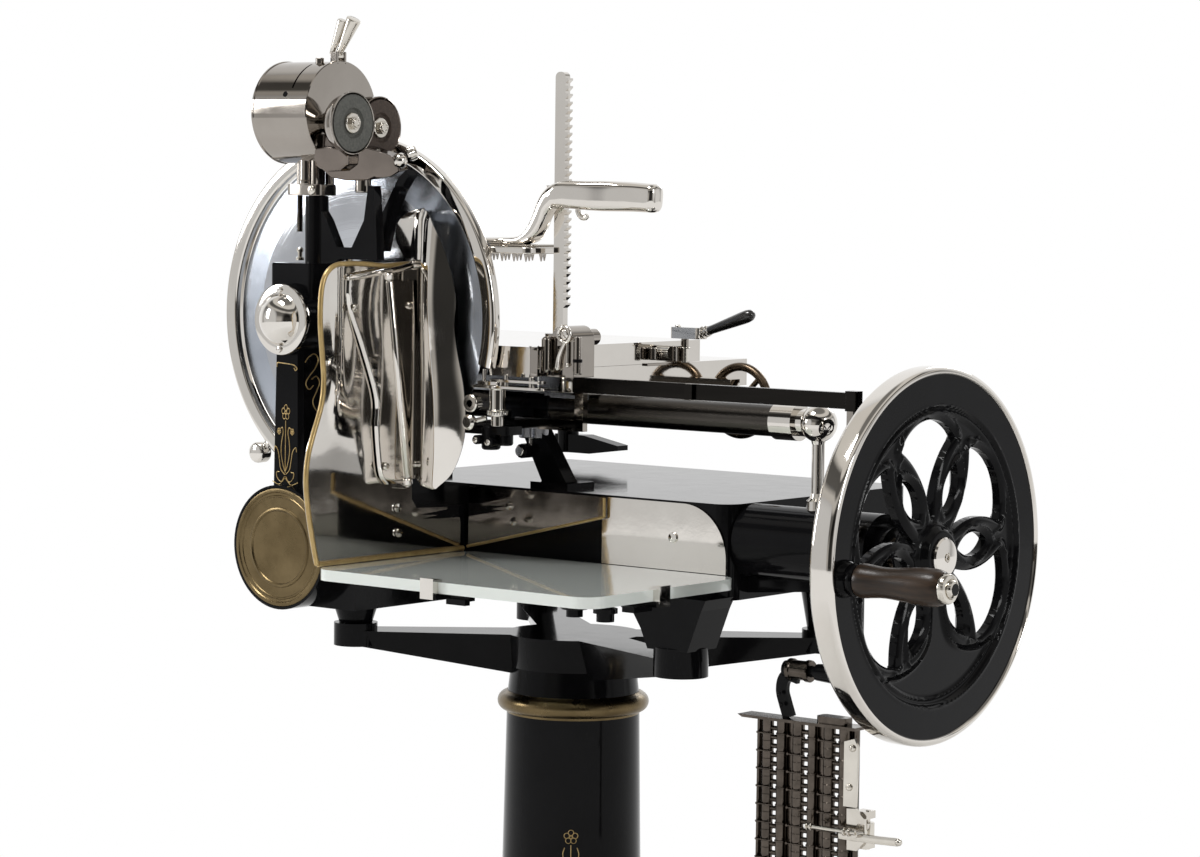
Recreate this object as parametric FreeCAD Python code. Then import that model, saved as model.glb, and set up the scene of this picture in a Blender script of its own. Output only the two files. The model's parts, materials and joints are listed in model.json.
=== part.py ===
import FreeCAD, Part
import math
import os

# Hand crank meat slicer on a pedestal, in millimetres, +Z up.
# All pieces are drawn about the centre of the blade: +X points to the flywheel,
# +Y from the blade to the meat table behind it.  At the end every piece is moved so that
# the origin lies on the floor, on the axis of the pedestal.

# ---- driving dimensions -------------------------------------------------------------
BLADE_R = 185.0
BLADE_BACK_Y = 3.0
BLADE_FRONT_Y = -2.0
BEVEL_WIDTH = 35.0
RING_CLEARANCE = 2.5
RING_WIDTH = 17.5
RING_HALF_WIDTH = 7.0
RING_START = -14.0
RING_TURN = 302.0

BLADE_AXIS_HEIGHT = 1130.0
PEDESTAL_X = 180.0
PEDESTAL_Y = 170.0
FOOT_R = 235.0
FOOT_HEIGHT = 260.0
COLUMN_TOP_R = 76.0
COLUMN_BASE_R = 84.0
COLLAR_R = 86.5
COLLAR_Z = -436.0
HEAD_R = 75.0
ARM_TOP_Z = -358.0

TABLE_TOP_Z = -188.0
TABLE_X0 = -60.0
TABLE_X1 = 460.0
TABLE_Y0 = 86.0
TABLE_Y1 = 436.0
TABLE_BOTTOM_Z = -292.0
WALL = 8.0

SHAFT_Y = 130.0
SHAFT_Z = -228.6
SHAFT_R = 12.0
HOUSING_R = 40.0
HOUSING_X1 = 630.0

WHEEL_R = 198.0
WHEEL_X0 = 671.0
WHEEL_X1 = 700.0
WHEEL_RIM_T = 8.0
BAND_WIDTH = 42.0
PETAL_TURN = 6.0
PETAL_COUNT = 6
CRANK_INSET = 28.0
CRANK_ANGLE = 183.0
GRIP_LENGTH = 112.0
GRIP_R = 19.0

CASE_Z = -252.0
CASE_R = 69.0
LID_R = 66.0
CASE_FRONT_Y = -128.0
GEAR_Y = -80.0
COLUMN_HALF = 21.0
BARREL_R = 38.0
BLOCK_TOP_Z = 62.0

COVER_X = 90.0
SHEET_T = 2.5

TUBE_R = 17.0
TUBE_Z = -98.0
TUBE_X0 = -60.0
TUBE_X1 = 491.0

CARRIAGE_X0 = -150.0
CARRIAGE_X1 = 250.0
CARRIAGE_TOP_Z = -50.0
MEAT_TABLE_TOP_Z = -25.0

TRAY_TOP_Z = -264.0
TRAY_T = 12.0
CLIP_X = 268.0
CLIP_Y = -62.0

RACK_X = 262.0
RACK_Y = 40.0
RACK_TOP_Z = 274.0
SPIKE_PLATE_Z = 76.0

DRUM_R = 57.0
DRUM_Y = -70.0
DRUM_Z = 228.0
DRUM_X0 = -48.0
DRUM_X1 = 36.0

STACKER_Y = 130.0
STACKER_PIVOT_Z = -364.0

# Named clearances.
RUN = 0.05
GAP = 0.3
TOOTH_FILL = 0.36

# ---- sizes that follow from the ones above ------------------------------------------
RING_INNER_R = BLADE_R + RING_CLEARANCE
RING_OUTER_R = RING_INNER_R + RING_WIDTH
BEVEL_INNER_R = BLADE_R - BEVEL_WIDTH
FRONT_TOP_Z = -(RING_OUTER_R + 7.0)
RIM_INNER_R = WHEEL_R - WHEEL_RIM_T
WEB_INNER_R = RIM_INNER_R - BAND_WIDTH
CRANK_R = WHEEL_R - CRANK_INSET
WEB_X0 = WHEEL_X0 + 9.0
WEB_X1 = WHEEL_X1 - 9.0
SHAFT_END_X = WHEEL_X1 + 4.0
GRIP_X0 = WHEEL_X1 + 16.0
GAUGE_X = BLADE_R + 4.0
GAUGE_TOP_Z = RING_OUTER_R * math.sin(math.radians(RING_START)) - 0.4

MACHINE_SHIFT = FreeCAD.Vector(-PEDESTAL_X, -PEDESTAL_Y, BLADE_AXIS_HEIGHT)
FLOOR_Z = -BLADE_AXIS_HEIGHT
X = FreeCAD.Vector(1, 0, 0)
Y = FreeCAD.Vector(0, 1, 0)
Z = FreeCAD.Vector(0, 0, 1)


# ---- small shape helpers ------------------------------------------------------------
def vec(x, y, z):
    return FreeCAD.Vector(x, y, z)


def box(x0, x1, y0, y1, z0, z1):
    return Part.makeBox(x1 - x0, y1 - y0, z1 - z0, vec(x0, y0, z0))


def rod(start, end, radius):
    """Round bar between two points."""
    axis = end - start
    return Part.makeCylinder(radius, axis.Length, start, axis)


def cone(start, end, r_start, r_end):
    axis = end - start
    return Part.makeCone(r_start, r_end, axis.Length, start, axis)


def fuse(*shapes):
    return shapes[0].multiFuse(list(shapes[1:])).removeSplitter()


def cut(shape, *tools):
    return shape.cut(list(tools))


def polygon(points):
    return Part.makePolygon(points + [points[0]])


def prism(points, push):
    """Solid from a closed outline pushed along a vector."""
    return Part.Face(polygon(points)).extrude(push)


def round_edges(shape, radius, pick):
    """Fillet the edges that the pick function accepts."""
    edges = [edge for edge in shape.Edges if pick(edge)]
    return shape.makeFillet(radius, edges)


def along(axis):
    """Test for straight edges that run along an axis."""
    def test(edge):
        if not isinstance(edge.Curve, Part.Line):
            return False
        return edge.Curve.Direction.cross(axis).Length < 1e-6
    return test


def rounded_box(x0, x1, y0, y1, z0, z1, radius, axis=Z):
    return round_edges(box(x0, x1, y0, y1, z0, z1), radius, along(axis))


def turned(profile, base, axis):
    """Solid of revolution; the profile lists (radius, distance along the axis)."""
    side = vec(0, 0, 1) if abs(axis.z) < 0.5 else vec(1, 0, 0)
    points = [base + side * r + axis * t for r, t in profile]
    return Part.Face(polygon(points)).revolve(base, axis, 360)


def plate_x(outline, x, thickness):
    """Flat sheet in a plane of constant x; the outline lists (y, z)."""
    return prism([vec(x, y, z) for y, z in outline], X * thickness)


def polar(radius, degrees):
    angle = math.radians(degrees)
    return radius * math.cos(angle), radius * math.sin(angle)


def turned_copies(shape, base, axis, count, start=0.0):
    copies = []
    for index in range(count):
        copy = shape.copy()
        copy.rotate(base, axis, start + 360.0 * index / count)
        copies.append(copy)
    return copies


# ---- bevel gears --------------------------------------------------------------------
def bevel_tooth(radius, distance, module, direction, axis, face):
    """One straight tooth: a trapezoid on the back cone, tapering towards the apex.

    Drawn for an apex at the origin; direction is the radial direction of the tooth.
    """
    slope = math.atan2(radius, distance)
    tangent = axis.cross(direction)
    height = direction * math.cos(slope) - axis * math.sin(slope)
    pitch_point = direction * radius + axis * distance
    half = TOOTH_FILL * math.pi * module / 2
    rows = [(-1.6 * module, half * 1.35), (0.0, half), (0.75 * module, half * 0.62)]
    left = [pitch_point - tangent * w + height * h for h, w in rows]
    right = [pitch_point + tangent * w + height * h for h, w in reversed(rows)]
    large = left + right
    small = [point * face for point in large]
    return Part.makeLoft([polygon(large), polygon(small)], True, True)


def bevel_gear(apex, axis, toward, teeth, mate_teeth, module, phase, face=0.66, hub=14.0):
    """Bevel gear with its apex and axis given; phase in tooth pitches from toward."""
    radius = module * teeth / 2
    distance = module * mate_teeth / 2
    slope = math.atan2(radius, distance)
    root = 1.2 * module
    root_r = radius - root * math.cos(slope)
    root_t = distance + root * math.sin(slope)
    origin = vec(0, 0, 0)
    profile = [(0, root_t * face), (root_r * face, root_t * face), (root_r, root_t),
               (root_r * 0.72, root_t + 2.0), (hub, root_t + 2.0), (hub, root_t + 9.0),
               (0, root_t + 9.0)]
    body = turned(profile, origin, axis)
    tooth = bevel_tooth(radius, distance, module, toward, axis, face)
    ring = turned_copies(tooth, origin, axis, teeth, 360.0 * phase / teeth)
    gear = body.multiFuse(ring)
    gear.translate(apex)
    return gear


# ---- pedestal -----------------------------------------------------------------------
def pedestal_point(z):
    return vec(PEDESTAL_X, PEDESTAL_Y, z)


def pedestal_foot():
    flare = Part.Wire([
        Part.makePolygon([vec(0, 0, 0), vec(FOOT_R, 0, 0), vec(FOOT_R, 0, 16)]),
        Part.Arc(vec(FOOT_R, 0, 16), vec(FOOT_R - 5, 0, 27), vec(FOOT_R - 17, 0, 32)).toShape(),
        Part.Arc(vec(FOOT_R - 17, 0, 32), vec(140, 0, 76), vec(104, 0, 168)).toShape(),
        Part.Arc(vec(104, 0, 168), vec(112, 0, 182), vec(102, 0, 196)).toShape(),
        Part.makePolygon([vec(102, 0, 196), vec(92, 0, 204), vec(92, 0, FOOT_HEIGHT),
                          vec(0, 0, FOOT_HEIGHT), vec(0, 0, 0)]),
    ])
    foot = Part.Face(flare).revolve(vec(0, 0, 0), Z, 360)
    foot = cut(foot, Part.makeCylinder(64, 34, vec(0, 0, FOOT_HEIGHT - 34)))
    foot.translate(pedestal_point(FLOOR_Z))
    return foot


def pedestal_column():
    base = FLOOR_Z + FOOT_HEIGHT
    height = COLLAR_Z - 13.0 - base
    profile = [(66, 0), (COLUMN_BASE_R, 0), (COLUMN_TOP_R, height), (66, height)]
    return turned(profile, pedestal_point(base), Z)


def pedestal_collar():
    """Turned ring with a half-round bead between the column and the head."""
    ring = turned([(40, -13), (COLUMN_TOP_R, -13), (COLUMN_TOP_R, 12), (40, 12)],
                  pedestal_point(COLLAR_Z), Z)
    bead = Part.makeTorus(COLLAR_R - 10.5, 10.5, pedestal_point(COLLAR_Z), Z)
    return fuse(ring, bead)


def head_arm(tip_x, tip_y, pad_r):
    """Arm that thins from the head to its tip."""
    centre = pedestal_point(ARM_TOP_Z)
    tip = vec(tip_x, tip_y, ARM_TOP_Z)
    run = (tip - centre).normalize()
    side = Z.cross(run)
    sections = []
    for place, half, depth in ((centre + run * 30, 34, 52), (tip, 22, 18)):
        low = place - Z * depth
        sections.append(polygon([place + side * half, place - side * half,
                                 low - side * half * 0.55, low + side * half * 0.55]))
    bar = Part.makeLoft(sections, True, True)
    pad = Part.makeCylinder(pad_r, 18, tip - Z * 18)
    return bar.fuse(pad)


# Feet of the bed on the head: (x, y, pad radius).
ARM_TIPS = ((-20.0, 20.0, 25.0), (406.0, 75.0, 30.0), (405.0, 345.0, 25.0),
            (-20.0, 345.0, 25.0))


def pedestal_head():
    drum = turned([(0, COLLAR_Z + 12), (HEAD_R, COLLAR_Z + 12), (HEAD_R - 3, COLLAR_Z + 40),
                   (HEAD_R + 3, ARM_TOP_Z), (0, ARM_TOP_Z)], pedestal_point(0), Z)
    shape = drum
    for tip in ARM_TIPS:
        shape = shape.fuse(head_arm(*tip))
    return shape.removeSplitter()


# ---- bed ----------------------------------------------------------------------------
def bed_foot(tip_x, tip_y, pad_r, top_z):
    """Tapered foot from the bed down to the pad of one arm."""
    pad = Part.makeCylinder(pad_r, 8, vec(tip_x, tip_y, ARM_TOP_Z))
    neck = cone(vec(tip_x, tip_y, ARM_TOP_Z + 8), vec(tip_x, tip_y, top_z), 19, 30)
    return pad.fuse(neck)


def wide_foot(tip_x, tip_y, pad_r, top_z):
    """Broad bracket below the front right corner of the bed, with its round pad."""
    pad = Part.makeCylinder(pad_r, 14, vec(tip_x, tip_y, ARM_TOP_Z))
    low = ARM_TOP_Z + 12
    y0 = tip_y - 26
    outline = [vec(tip_x - 63, y0, top_z), vec(tip_x - 63, y0, top_z - 16),
               vec(tip_x - 46, y0, top_z - 21), vec(tip_x - 36, y0, top_z - 36),
               vec(tip_x - 26, y0, low), vec(tip_x + 28, y0, low),
               vec(tip_x + 46, y0, top_z - 12), vec(tip_x + 52, y0, top_z)]
    return pad.fuse(prism(outline, Y * 52))


def case_cylinder(y0, y1, radius):
    return Part.makeCylinder(radius, y1 - y0, vec(0, y0, CASE_Z), Y)


def bed_casting():
    table = rounded_box(TABLE_X0, TABLE_X1, TABLE_Y0, TABLE_Y1, TABLE_BOTTOM_Z,
                        TABLE_TOP_Z, 22)
    inside = rounded_box(TABLE_X0 + WALL, TABLE_X1 - WALL, TABLE_Y0 + WALL, TABLE_Y1 - WALL,
                         TABLE_BOTTOM_Z - 1, TABLE_TOP_Z - WALL, 14)
    shell = table.cut(inside)
    front = box(TABLE_X0 + 22, COVER_X - SHEET_T / 2, -100, TABLE_Y0 + 2, -318, FRONT_TOP_Z)
    case = case_cylinder(CASE_FRONT_Y, -14, CASE_R)
    tunnel = rod(vec(60, SHAFT_Y, SHAFT_Z), vec(TABLE_X1 - 2, SHAFT_Y, SHAFT_Z), 22)
    rib = box(60, TABLE_X1 - 2, SHAFT_Y - 4, SHAFT_Y + 4, SHAFT_Z + 15, TABLE_TOP_Z - 5)
    shape = shell.multiFuse([front, case, tunnel, rib])
    for index, tip in enumerate(ARM_TIPS):
        if index == 0:
            shape = shape.fuse(bed_foot(*tip, -316))
        else:
            make = wide_foot if index == 1 else bed_foot
            shape = shape.fuse(make(*tip, TABLE_BOTTOM_Z + 4))
            shape = shape.fuse(foot_web(tip[0], tip[1]))
    shape = shape.cut(case_cylinder(CASE_FRONT_Y - 1, CASE_FRONT_Y + 6, LID_R))
    shape = shape.cut(rod(vec(0, CASE_FRONT_Y, SHAFT_Z), vec(0, -50, SHAFT_Z), 26))
    shape = shape.cut(rod(vec(0, -51, SHAFT_Z), vec(0, TABLE_Y0 + WALL + 1, SHAFT_Z), 12))
    shape = shape.cut(rod(vec(0, GEAR_Y, SHAFT_Z), vec(0, GEAR_Y, -150), 10))
    bore = rod(vec(59, SHAFT_Y, SHAFT_Z), vec(TABLE_X1 + 1, SHAFT_Y, SHAFT_Z), SHAFT_R + 4)
    return shape.cut(bore).removeSplitter()


def foot_web(tip_x, tip_y):
    """Cross bar under the bed that carries a foot from wall to wall."""
    start = TABLE_Y0 + 1 if tip_y < TABLE_Y0 + WALL + 30 else tip_y - 30
    return box(tip_x - 22, tip_x + 22, start, TABLE_Y1 - 1, TABLE_BOTTOM_Z,
               TABLE_BOTTOM_Z + 7)


def shaft_housing():
    barrel = rod(vec(TABLE_X1, SHAFT_Y, SHAFT_Z), vec(HOUSING_X1, SHAFT_Y, SHAFT_Z), HOUSING_R)
    web = prism([vec(TABLE_X1, SHAFT_Y - 8, -285), vec(TABLE_X1, SHAFT_Y - 8, SHAFT_Z),
                 vec(590, SHAFT_Y - 8, SHAFT_Z), vec(560, SHAFT_Y - 8, -276)], Y * 16)
    boss = rod(vec(HOUSING_X1 - 4, SHAFT_Y, SHAFT_Z), vec(HOUSING_X1 + 14, SHAFT_Y, SHAFT_Z), 27)
    shape = fuse(barrel, web, boss)
    bore = rod(vec(TABLE_X1 - 1, SHAFT_Y, SHAFT_Z), vec(HOUSING_X1 + 20, SHAFT_Y, SHAFT_Z),
               SHAFT_R + 4)
    return shape.cut(bore)


def bush(start, end, inner, outer):
    return rod(start, end, outer).cut(rod(start, end, inner + RUN))


def shaft_bushes():
    """Bronze bearings of the main, cross, vertical and blade shafts."""
    main = [(60, 84), (HOUSING_X1 - 26, HOUSING_X1 + 14)]
    parts = [bush(vec(a, SHAFT_Y, SHAFT_Z), vec(b, SHAFT_Y, SHAFT_Z), SHAFT_R, SHAFT_R + 4)
             for a, b in main]
    parts += [bush(vec(0, a, SHAFT_Z), vec(0, b, SHAFT_Z), 8, 12)
              for a, b in ((-48, -28), (64, 88))]
    parts += [bush(vec(0, GEAR_Y, a), vec(0, GEAR_Y, b), 7, 10)
              for a, b in ((-178, -156), (-62, -40))]
    parts.append(bush(vec(0, -52, 0), vec(0, -26, 0), 10, 14))
    return Part.makeCompound(parts)


# ---- gear column --------------------------------------------------------------------
def gear_column():
    foot_half = COLUMN_HALF + 3
    sections = []
    for z, half, front in ((-240, foot_half, -118), (20, COLUMN_HALF - 1, -116)):
        sections.append(polygon([vec(-half + 5, front, z), vec(half - 5, front, z),
                                 vec(half, front + 5, z), vec(half, -30, z),
                                 vec(-half, -30, z), vec(-half, front + 5, z)]))
    shank = Part.makeLoft(sections, True, True)
    barrel = rod(vec(0, -122, 0), vec(0, -24, 0), BARREL_R)
    block = rounded_box(-31, 31, -112, -34, 12, BLOCK_TOP_Z, 5)
    shape = fuse(shank, barrel, block)
    shape = shape.cut(case_cylinder(-130, -10, CASE_R))
    shape = shape.cut(rod(vec(0, -123, 0), vec(0, -56, 0), 26))
    shape = shape.cut(rod(vec(0, -60, 0), vec(0, -20, 0), 14))
    shape = shape.cut(rod(vec(0, GEAR_Y, -200), vec(0, GEAR_Y, 0), 10))
    return shape


def case_lid():
    """Plain brass disc with raised rings; it closes the lower gear case."""
    profile = [(0, 0), (LID_R, 0), (LID_R, 5.5), (LID_R - 3, 7), (LID_R - 6, 5.6),
               (44, 5.6), (43, 6.6), (41, 6.6), (40, 5.4), (0, 5.4)]
    disc = turned(profile, vec(0, CASE_FRONT_Y + 6, CASE_Z), vec(0, -1, 0))
    return disc


def hub_dome():
    base = vec(0, -122, 0)
    profile = [(0, 0), (39.4, 0), (39.4, 5), (37, 6.5), (28, 6.5), (26, 9), (22, 15),
               (15, 20.5), (8, 23), (0, 24)]
    return turned(profile, base, vec(0, -1, 0))


# ---- blade and guard ----------------------------------------------------------------
def blade():
    t_back = -BLADE_BACK_Y
    profile = [(0, t_back), (BLADE_R, t_back), (BLADE_R, t_back + 0.6),
               (BEVEL_INNER_R, -BLADE_FRONT_Y), (0, -BLADE_FRONT_Y)]
    return turned(profile, vec(0, 0, 0), vec(0, -1, 0))


def guard_ring():
    """Open ring round the blade with a rounded outer face and a lug at its foot."""
    w = RING_HALF_WIDTH
    section = polygon([vec(RING_INNER_R, -w + 1, 0), vec(RING_INNER_R + 3, -w, 0),
                       vec(RING_OUTER_R - 4, -w, 0), vec(RING_OUTER_R, -w + 4, 0),
                       vec(RING_OUTER_R, w - 4, 0), vec(RING_OUTER_R - 4, w, 0),
                       vec(RING_INNER_R + 2, w, 0), vec(RING_INNER_R, w - 2, 0)])
    ring = Part.Face(section).revolve(vec(0, 0, 0), vec(0, -1, 0), RING_TURN)
    ring.rotate(vec(0, 0, 0), vec(0, -1, 0), RING_START)
    lug = box(-16, 16, -w, w, FRONT_TOP_Z, -RING_OUTER_R + 4)
    knob_x, knob_z = polar(RING_OUTER_R + 16.5, 227)
    stub_x, stub_z = polar(RING_OUTER_R - 2.6, 227)
    knob = rod(vec(knob_x, -w - 5, knob_z), vec(knob_x, w + 1, knob_z), 12)
    stub = rod(vec(stub_x, 0, stub_z), vec(knob_x, 0, knob_z), 5)
    pin = rod(vec(GAUGE_X, 0, -80), vec(GAUGE_X, 0, -20), 4)
    return fuse(ring, lug, knob, stub).cut(pin)


def blade_shaft():
    gear = bevel_gear(vec(0, GEAR_Y, 0), Y, -Z, 16, 16, 2.0, 0.0, hub=13.0)
    stem = rod(vec(0, GEAR_Y + 12, 0), vec(0, -20, 0), 10)
    flange = rod(vec(0, -20, 0), vec(0, BLADE_FRONT_Y, 0), 34)
    return fuse(gear, stem, flange)


def vertical_shaft():
    upper = bevel_gear(vec(0, GEAR_Y, 0), -Z, Y, 16, 16, 2.0, 0.5, hub=9.0)
    lower = bevel_gear(vec(0, GEAR_Y, SHAFT_Z), Z, Y, 16, 16, 2.0, 0.0, hub=9.0)
    stem = rod(vec(0, GEAR_Y, SHAFT_Z + 12), vec(0, GEAR_Y, -12), 7)
    return fuse(upper, lower, stem)


def cross_shaft():
    mitre = bevel_gear(vec(0, GEAR_Y, SHAFT_Z), Y, Z, 16, 16, 2.0, 0.5, hub=11.0)
    pinion = bevel_gear(vec(0, SHAFT_Y, SHAFT_Z), -Y, X, 16, 24, 2.5, 0.5, hub=11.0)
    stem = rod(vec(0, GEAR_Y + 12, SHAFT_Z), vec(0, SHAFT_Y - 22, SHAFT_Z), 8)
    return fuse(mitre, pinion, stem)


def main_shaft():
    gear = bevel_gear(vec(0, SHAFT_Y, SHAFT_Z), X, -Y, 24, 16, 2.5, 0.0, hub=20.0)
    stem = rod(vec(16, SHAFT_Y, SHAFT_Z), vec(SHAFT_END_X, SHAFT_Y, SHAFT_Z), SHAFT_R)
    return fuse(gear, stem)


# ---- flywheel -----------------------------------------------------------------------
WHEEL_AXIS = vec(0, SHAFT_Y, SHAFT_Z)


def wheel_profile(points):
    return turned(points, WHEEL_AXIS, X)


def flywheel_rim():
    inner = RIM_INNER_R
    x0 = WHEEL_X0
    x1 = WHEEL_X1
    return wheel_profile([(inner, x0), (WHEEL_R - 6, x0), (WHEEL_R - 2, x0 + 2),
                          (WHEEL_R, x0 + 7), (WHEEL_R, x1 - 7), (WHEEL_R - 2, x1 - 2),
                          (WHEEL_R - 6, x1), (inner, x1)])


def wheel_point(u, w, x):
    """Point at distance u along +Y from the wheel axis and w above it."""
    return vec(x, SHAFT_Y + u, SHAFT_Z + w)


def curved_face(corners, x):
    """Face bounded by arcs; corners lists (start, middle) pairs in wheel coordinates."""
    edges = []
    for index, (start, middle) in enumerate(corners):
        end = corners[(index + 1) % len(corners)][0]
        edges.append(Part.Arc(wheel_point(*start, x), wheel_point(*middle, x),
                              wheel_point(*end, x)).toShape())
    return Part.Face(Part.Wire(edges))


def wheel_opening(x0, x1):
    """Arch between two petals, drawn about the +Y direction."""
    far = WEB_INNER_R - 45
    face = curved_face([((45, -2), (79, -15)), ((far, -45), (WEB_INNER_R - 2, 0)),
                        ((far, 45), (79, 15)), ((45, 2), (43, 0))], x0)
    return face.extrude(X * (x1 - x0))


def petal_loop(length, half, inner, x0, x1):
    """Leaf drawn about the +Y direction from radius inner to length."""
    middle = (inner + length) / 2
    face = curved_face([((inner, 0), (middle, -half)), ((length, 0), (middle, half))], x0)
    return face.extrude(X * (x1 - x0))


def flywheel_web():
    """Cast web: plain band, six petals and a solid fan below the hub."""
    inner = RIM_INNER_R
    disc = wheel_profile([(0, WEB_X0), (inner, WEB_X0), (inner, WEB_X1), (0, WEB_X1)])
    band = wheel_profile([(WEB_INNER_R + 2, WEB_X0 - 4), (inner, WEB_X0 - 4),
                          (inner, WEB_X1 + 6), (WEB_INNER_R + 6, WEB_X1 + 6),
                          (WEB_INNER_R + 2, WEB_X1 + 4)])
    hub = wheel_profile([(0, WEB_X0 - 25), (25, WEB_X0 - 25), (34, WEB_X0 - 16),
                         (36, WEB_X1 - 1), (32, SHAFT_END_X), (0, SHAFT_END_X)])
    petals = [petal_loop(WEB_INNER_R - 36, 23, 28, WEB_X0 - 3, WEB_X1 + 4)]
    petal_ring = []
    for index in range(PETAL_COUNT):
        copy = petals[0].copy()
        copy.rotate(WHEEL_AXIS, X, PETAL_TURN + 60.0 * index)
        petal_ring.append(copy)
    shape = disc.multiFuse([band, hub] + petal_ring)
    tools = []
    cut_x0 = WEB_X0 - 30
    cut_x1 = WEB_X1 + 20
    for index in range(PETAL_COUNT):
        opening = wheel_opening(cut_x0, cut_x1)
        opening.rotate(WHEEL_AXIS, X, PETAL_TURN + 30.0 + 60.0 * index)
        if index != 4:
            tools.append(opening)
        eye = petal_loop(WEB_INNER_R - 48, 12, 48, cut_x0, cut_x1)
        eye.rotate(WHEEL_AXIS, X, PETAL_TURN + 60.0 * index)
        tools.append(eye)
    tools.append(rod(vec(cut_x0, SHAFT_Y, SHAFT_Z), vec(SHAFT_END_X, SHAFT_Y, SHAFT_Z), SHAFT_R))
    tools.append(rod(crank_point(cut_x0), crank_point(cut_x1), 9))
    return shape.cut(tools)


def flywheel_cap():
    x = SHAFT_END_X
    cap = turned([(0, x), (22, x), (22, x + 2), (18, x + 4.5), (0, x + 6)], WHEEL_AXIS, X)
    return cap.cut(box(x + 4, x + 8, SHAFT_Y - 1.5, SHAFT_Y + 1.5, SHAFT_Z - 7, SHAFT_Z + 7))


def crank_point(x):
    u, w = polar(CRANK_R, CRANK_ANGLE)
    return wheel_point(u, w, x)


def handle_spindle():
    """Black collar against the web and the pin that the grip turns on."""
    base = crank_point(0)
    end = GRIP_X0 + GRIP_LENGTH + 4
    collar = RIM_INNER_R - CRANK_R - GAP
    x0 = WEB_X0 - 4
    x1 = WEB_X1 + 6
    return turned([(0, x0), (9, x0), (9, x1), (collar, x1), (collar, x1 + 7), (16, x1 + 14),
                   (16, GRIP_X0 - GAP), (6, GRIP_X0 - GAP), (6, end), (0, end)], base, X)


def wooden_grip():
    base = crank_point(GRIP_X0)
    end = GRIP_LENGTH - 12
    profile = [(6 + RUN, 0), (15, 0), (17, 6), (16, 20), (14, 36), (15.5, 56), (GRIP_R, 82),
               (18, 96), (17, end), (6 + RUN, end)]
    return turned(profile, base, X)


def grip_ferrule():
    base = crank_point(GRIP_X0)
    start = GRIP_LENGTH - 12
    profile = [(6 + RUN, start), (16, start), (14.5, start + 7), (11, start + 12),
               (6 + RUN, start + 12)]
    ring = turned(profile, base, X)
    cap = turned([(0, start + 16 + GAP), (6 + RUN, start + 16 + GAP), (6 + RUN, start + 12),
                  (11, start + 12), (9, start + 18), (0, start + 19)], base, X)
    return fuse(ring, cap)


# ---- covers and plates --------------------------------------------------------------
COVER_OUTLINE = [(-140, 60), (-152, 46), (-159, 20), (-163, -20), (-158, -62), (-155, -84),
                 (-170, -112), (-182, -136), (-184, -160), (-176, -210), (-164, -258),
                 (-158, -262), (79, -262), (70, -214), (-9, -214), (-9, 60), (-16, 64),
                 (-100, 64)]


def cover_plate():
    """Nickel sheet with a rolled top edge, the fixed leaf and the pin of the deflector."""
    x = COVER_X - SHEET_T / 2
    sheet = plate_x(COVER_OUTLINE, x, SHEET_T)
    roll = rod(vec(COVER_X + 4.5, -128, 60), vec(COVER_X + 4.5, -14, 60), 3.7)
    leaf = plate_x([(-126, 50), (-66, 52), (-36, -178), (-64, -183)], 97, 2)
    spacers = [box(COVER_X, 97.5, y, y + 12, z, z + 10) for y, z in ((-112, 24), (-62, -166))]
    start, end = deflector_axis()
    run = (end - start).normalize()
    pin = rod(start - run * 7, end + run * 7, 2.5)
    lugs = [rod(point, point + run * 5, 6) for point in (start - run * 6, end + run)]
    feet = [box(COVER_X, start.x, point.y - 4, point.y + 4, point.z - 2.4, point.z + 2.4)
            for point in (start - run * 3.5, end + run * 3.5)]
    solid = fuse(sheet, roll, leaf, *spacers)
    swept = rod(start - run, end + run, 5.0 + GAP + 0.4)
    return fuse(solid.cut(swept), pin, *(lugs + feet))


def cover_bead():
    """Brass bead along the left and lower edges of the cover plate."""
    path = [(-100, 64), (-140, 60), (-152, 46), (-159, 20), (-163, -20), (-158, -62),
            (-155, -84), (-170, -112), (-182, -136), (-184, -160), (-176, -210),
            (-164, -258), (-158, -262), (76, -262)]
    x = COVER_X + SHEET_T / 2
    strips = []
    for (y0, z0), (y1, z1) in zip(path, path[1:]):
        strips.append(rod(vec(x + 2, y0, z0), vec(x + 2, y1, z1), 2.0))
        strips.append(Part.makeSphere(2.0, vec(x + 2, y1, z1)))
    strips.append(Part.makeSphere(2.0, vec(x + 2, path[0][0], path[0][1])))
    return fuse(*strips).cut(cover_plate())


def wing_plate():
    """S-curved guide in front of the blade, joined to the edge of the cover plate."""
    wave = [vec(64, -13.5, 0), vec(COVER_X + 1.25, -13, 0), vec(104, -14, 0),
            vec(122, -27, 0), vec(142, -27, 0), vec(162, -16, 0), vec(186, -10, 0)]
    curve = Part.BSplineCurve()
    curve.interpolate(wave)
    back = Part.BSplineCurve()
    back.interpolate([point + vec(0, 2.4, 0) for point in wave])
    ends = [Part.makeLine(wave[0], wave[0] + vec(0, 2.4, 0)),
            Part.makeLine(wave[-1], wave[-1] + vec(0, 2.4, 0))]
    wire = Part.Wire(Part.sortEdges([curve.toShape(), back.toShape()] + ends)[0])
    sheet = Part.Face(wire).extrude(Z * 330)
    sheet.translate(vec(0, 0, -195))
    outline = [vec(COVER_X + 1.25, -80, -170), vec(COVER_X + 1.25, -80, 66), vec(67, -80, 88),
               vec(68, -80, 102), vec(79, -80, 116), vec(98, -80, 123), vec(116, -80, 124),
               vec(130, -80, 116), vec(146, -80, 88), vec(161, -80, 24), vec(158, -80, -9),
               vec(166, -80, -52), vec(172, -80, -106), vec(166, -80, -145),
               vec(140, -80, -184)]
    return sheet.common(prism(outline, Y * 90))


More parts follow.
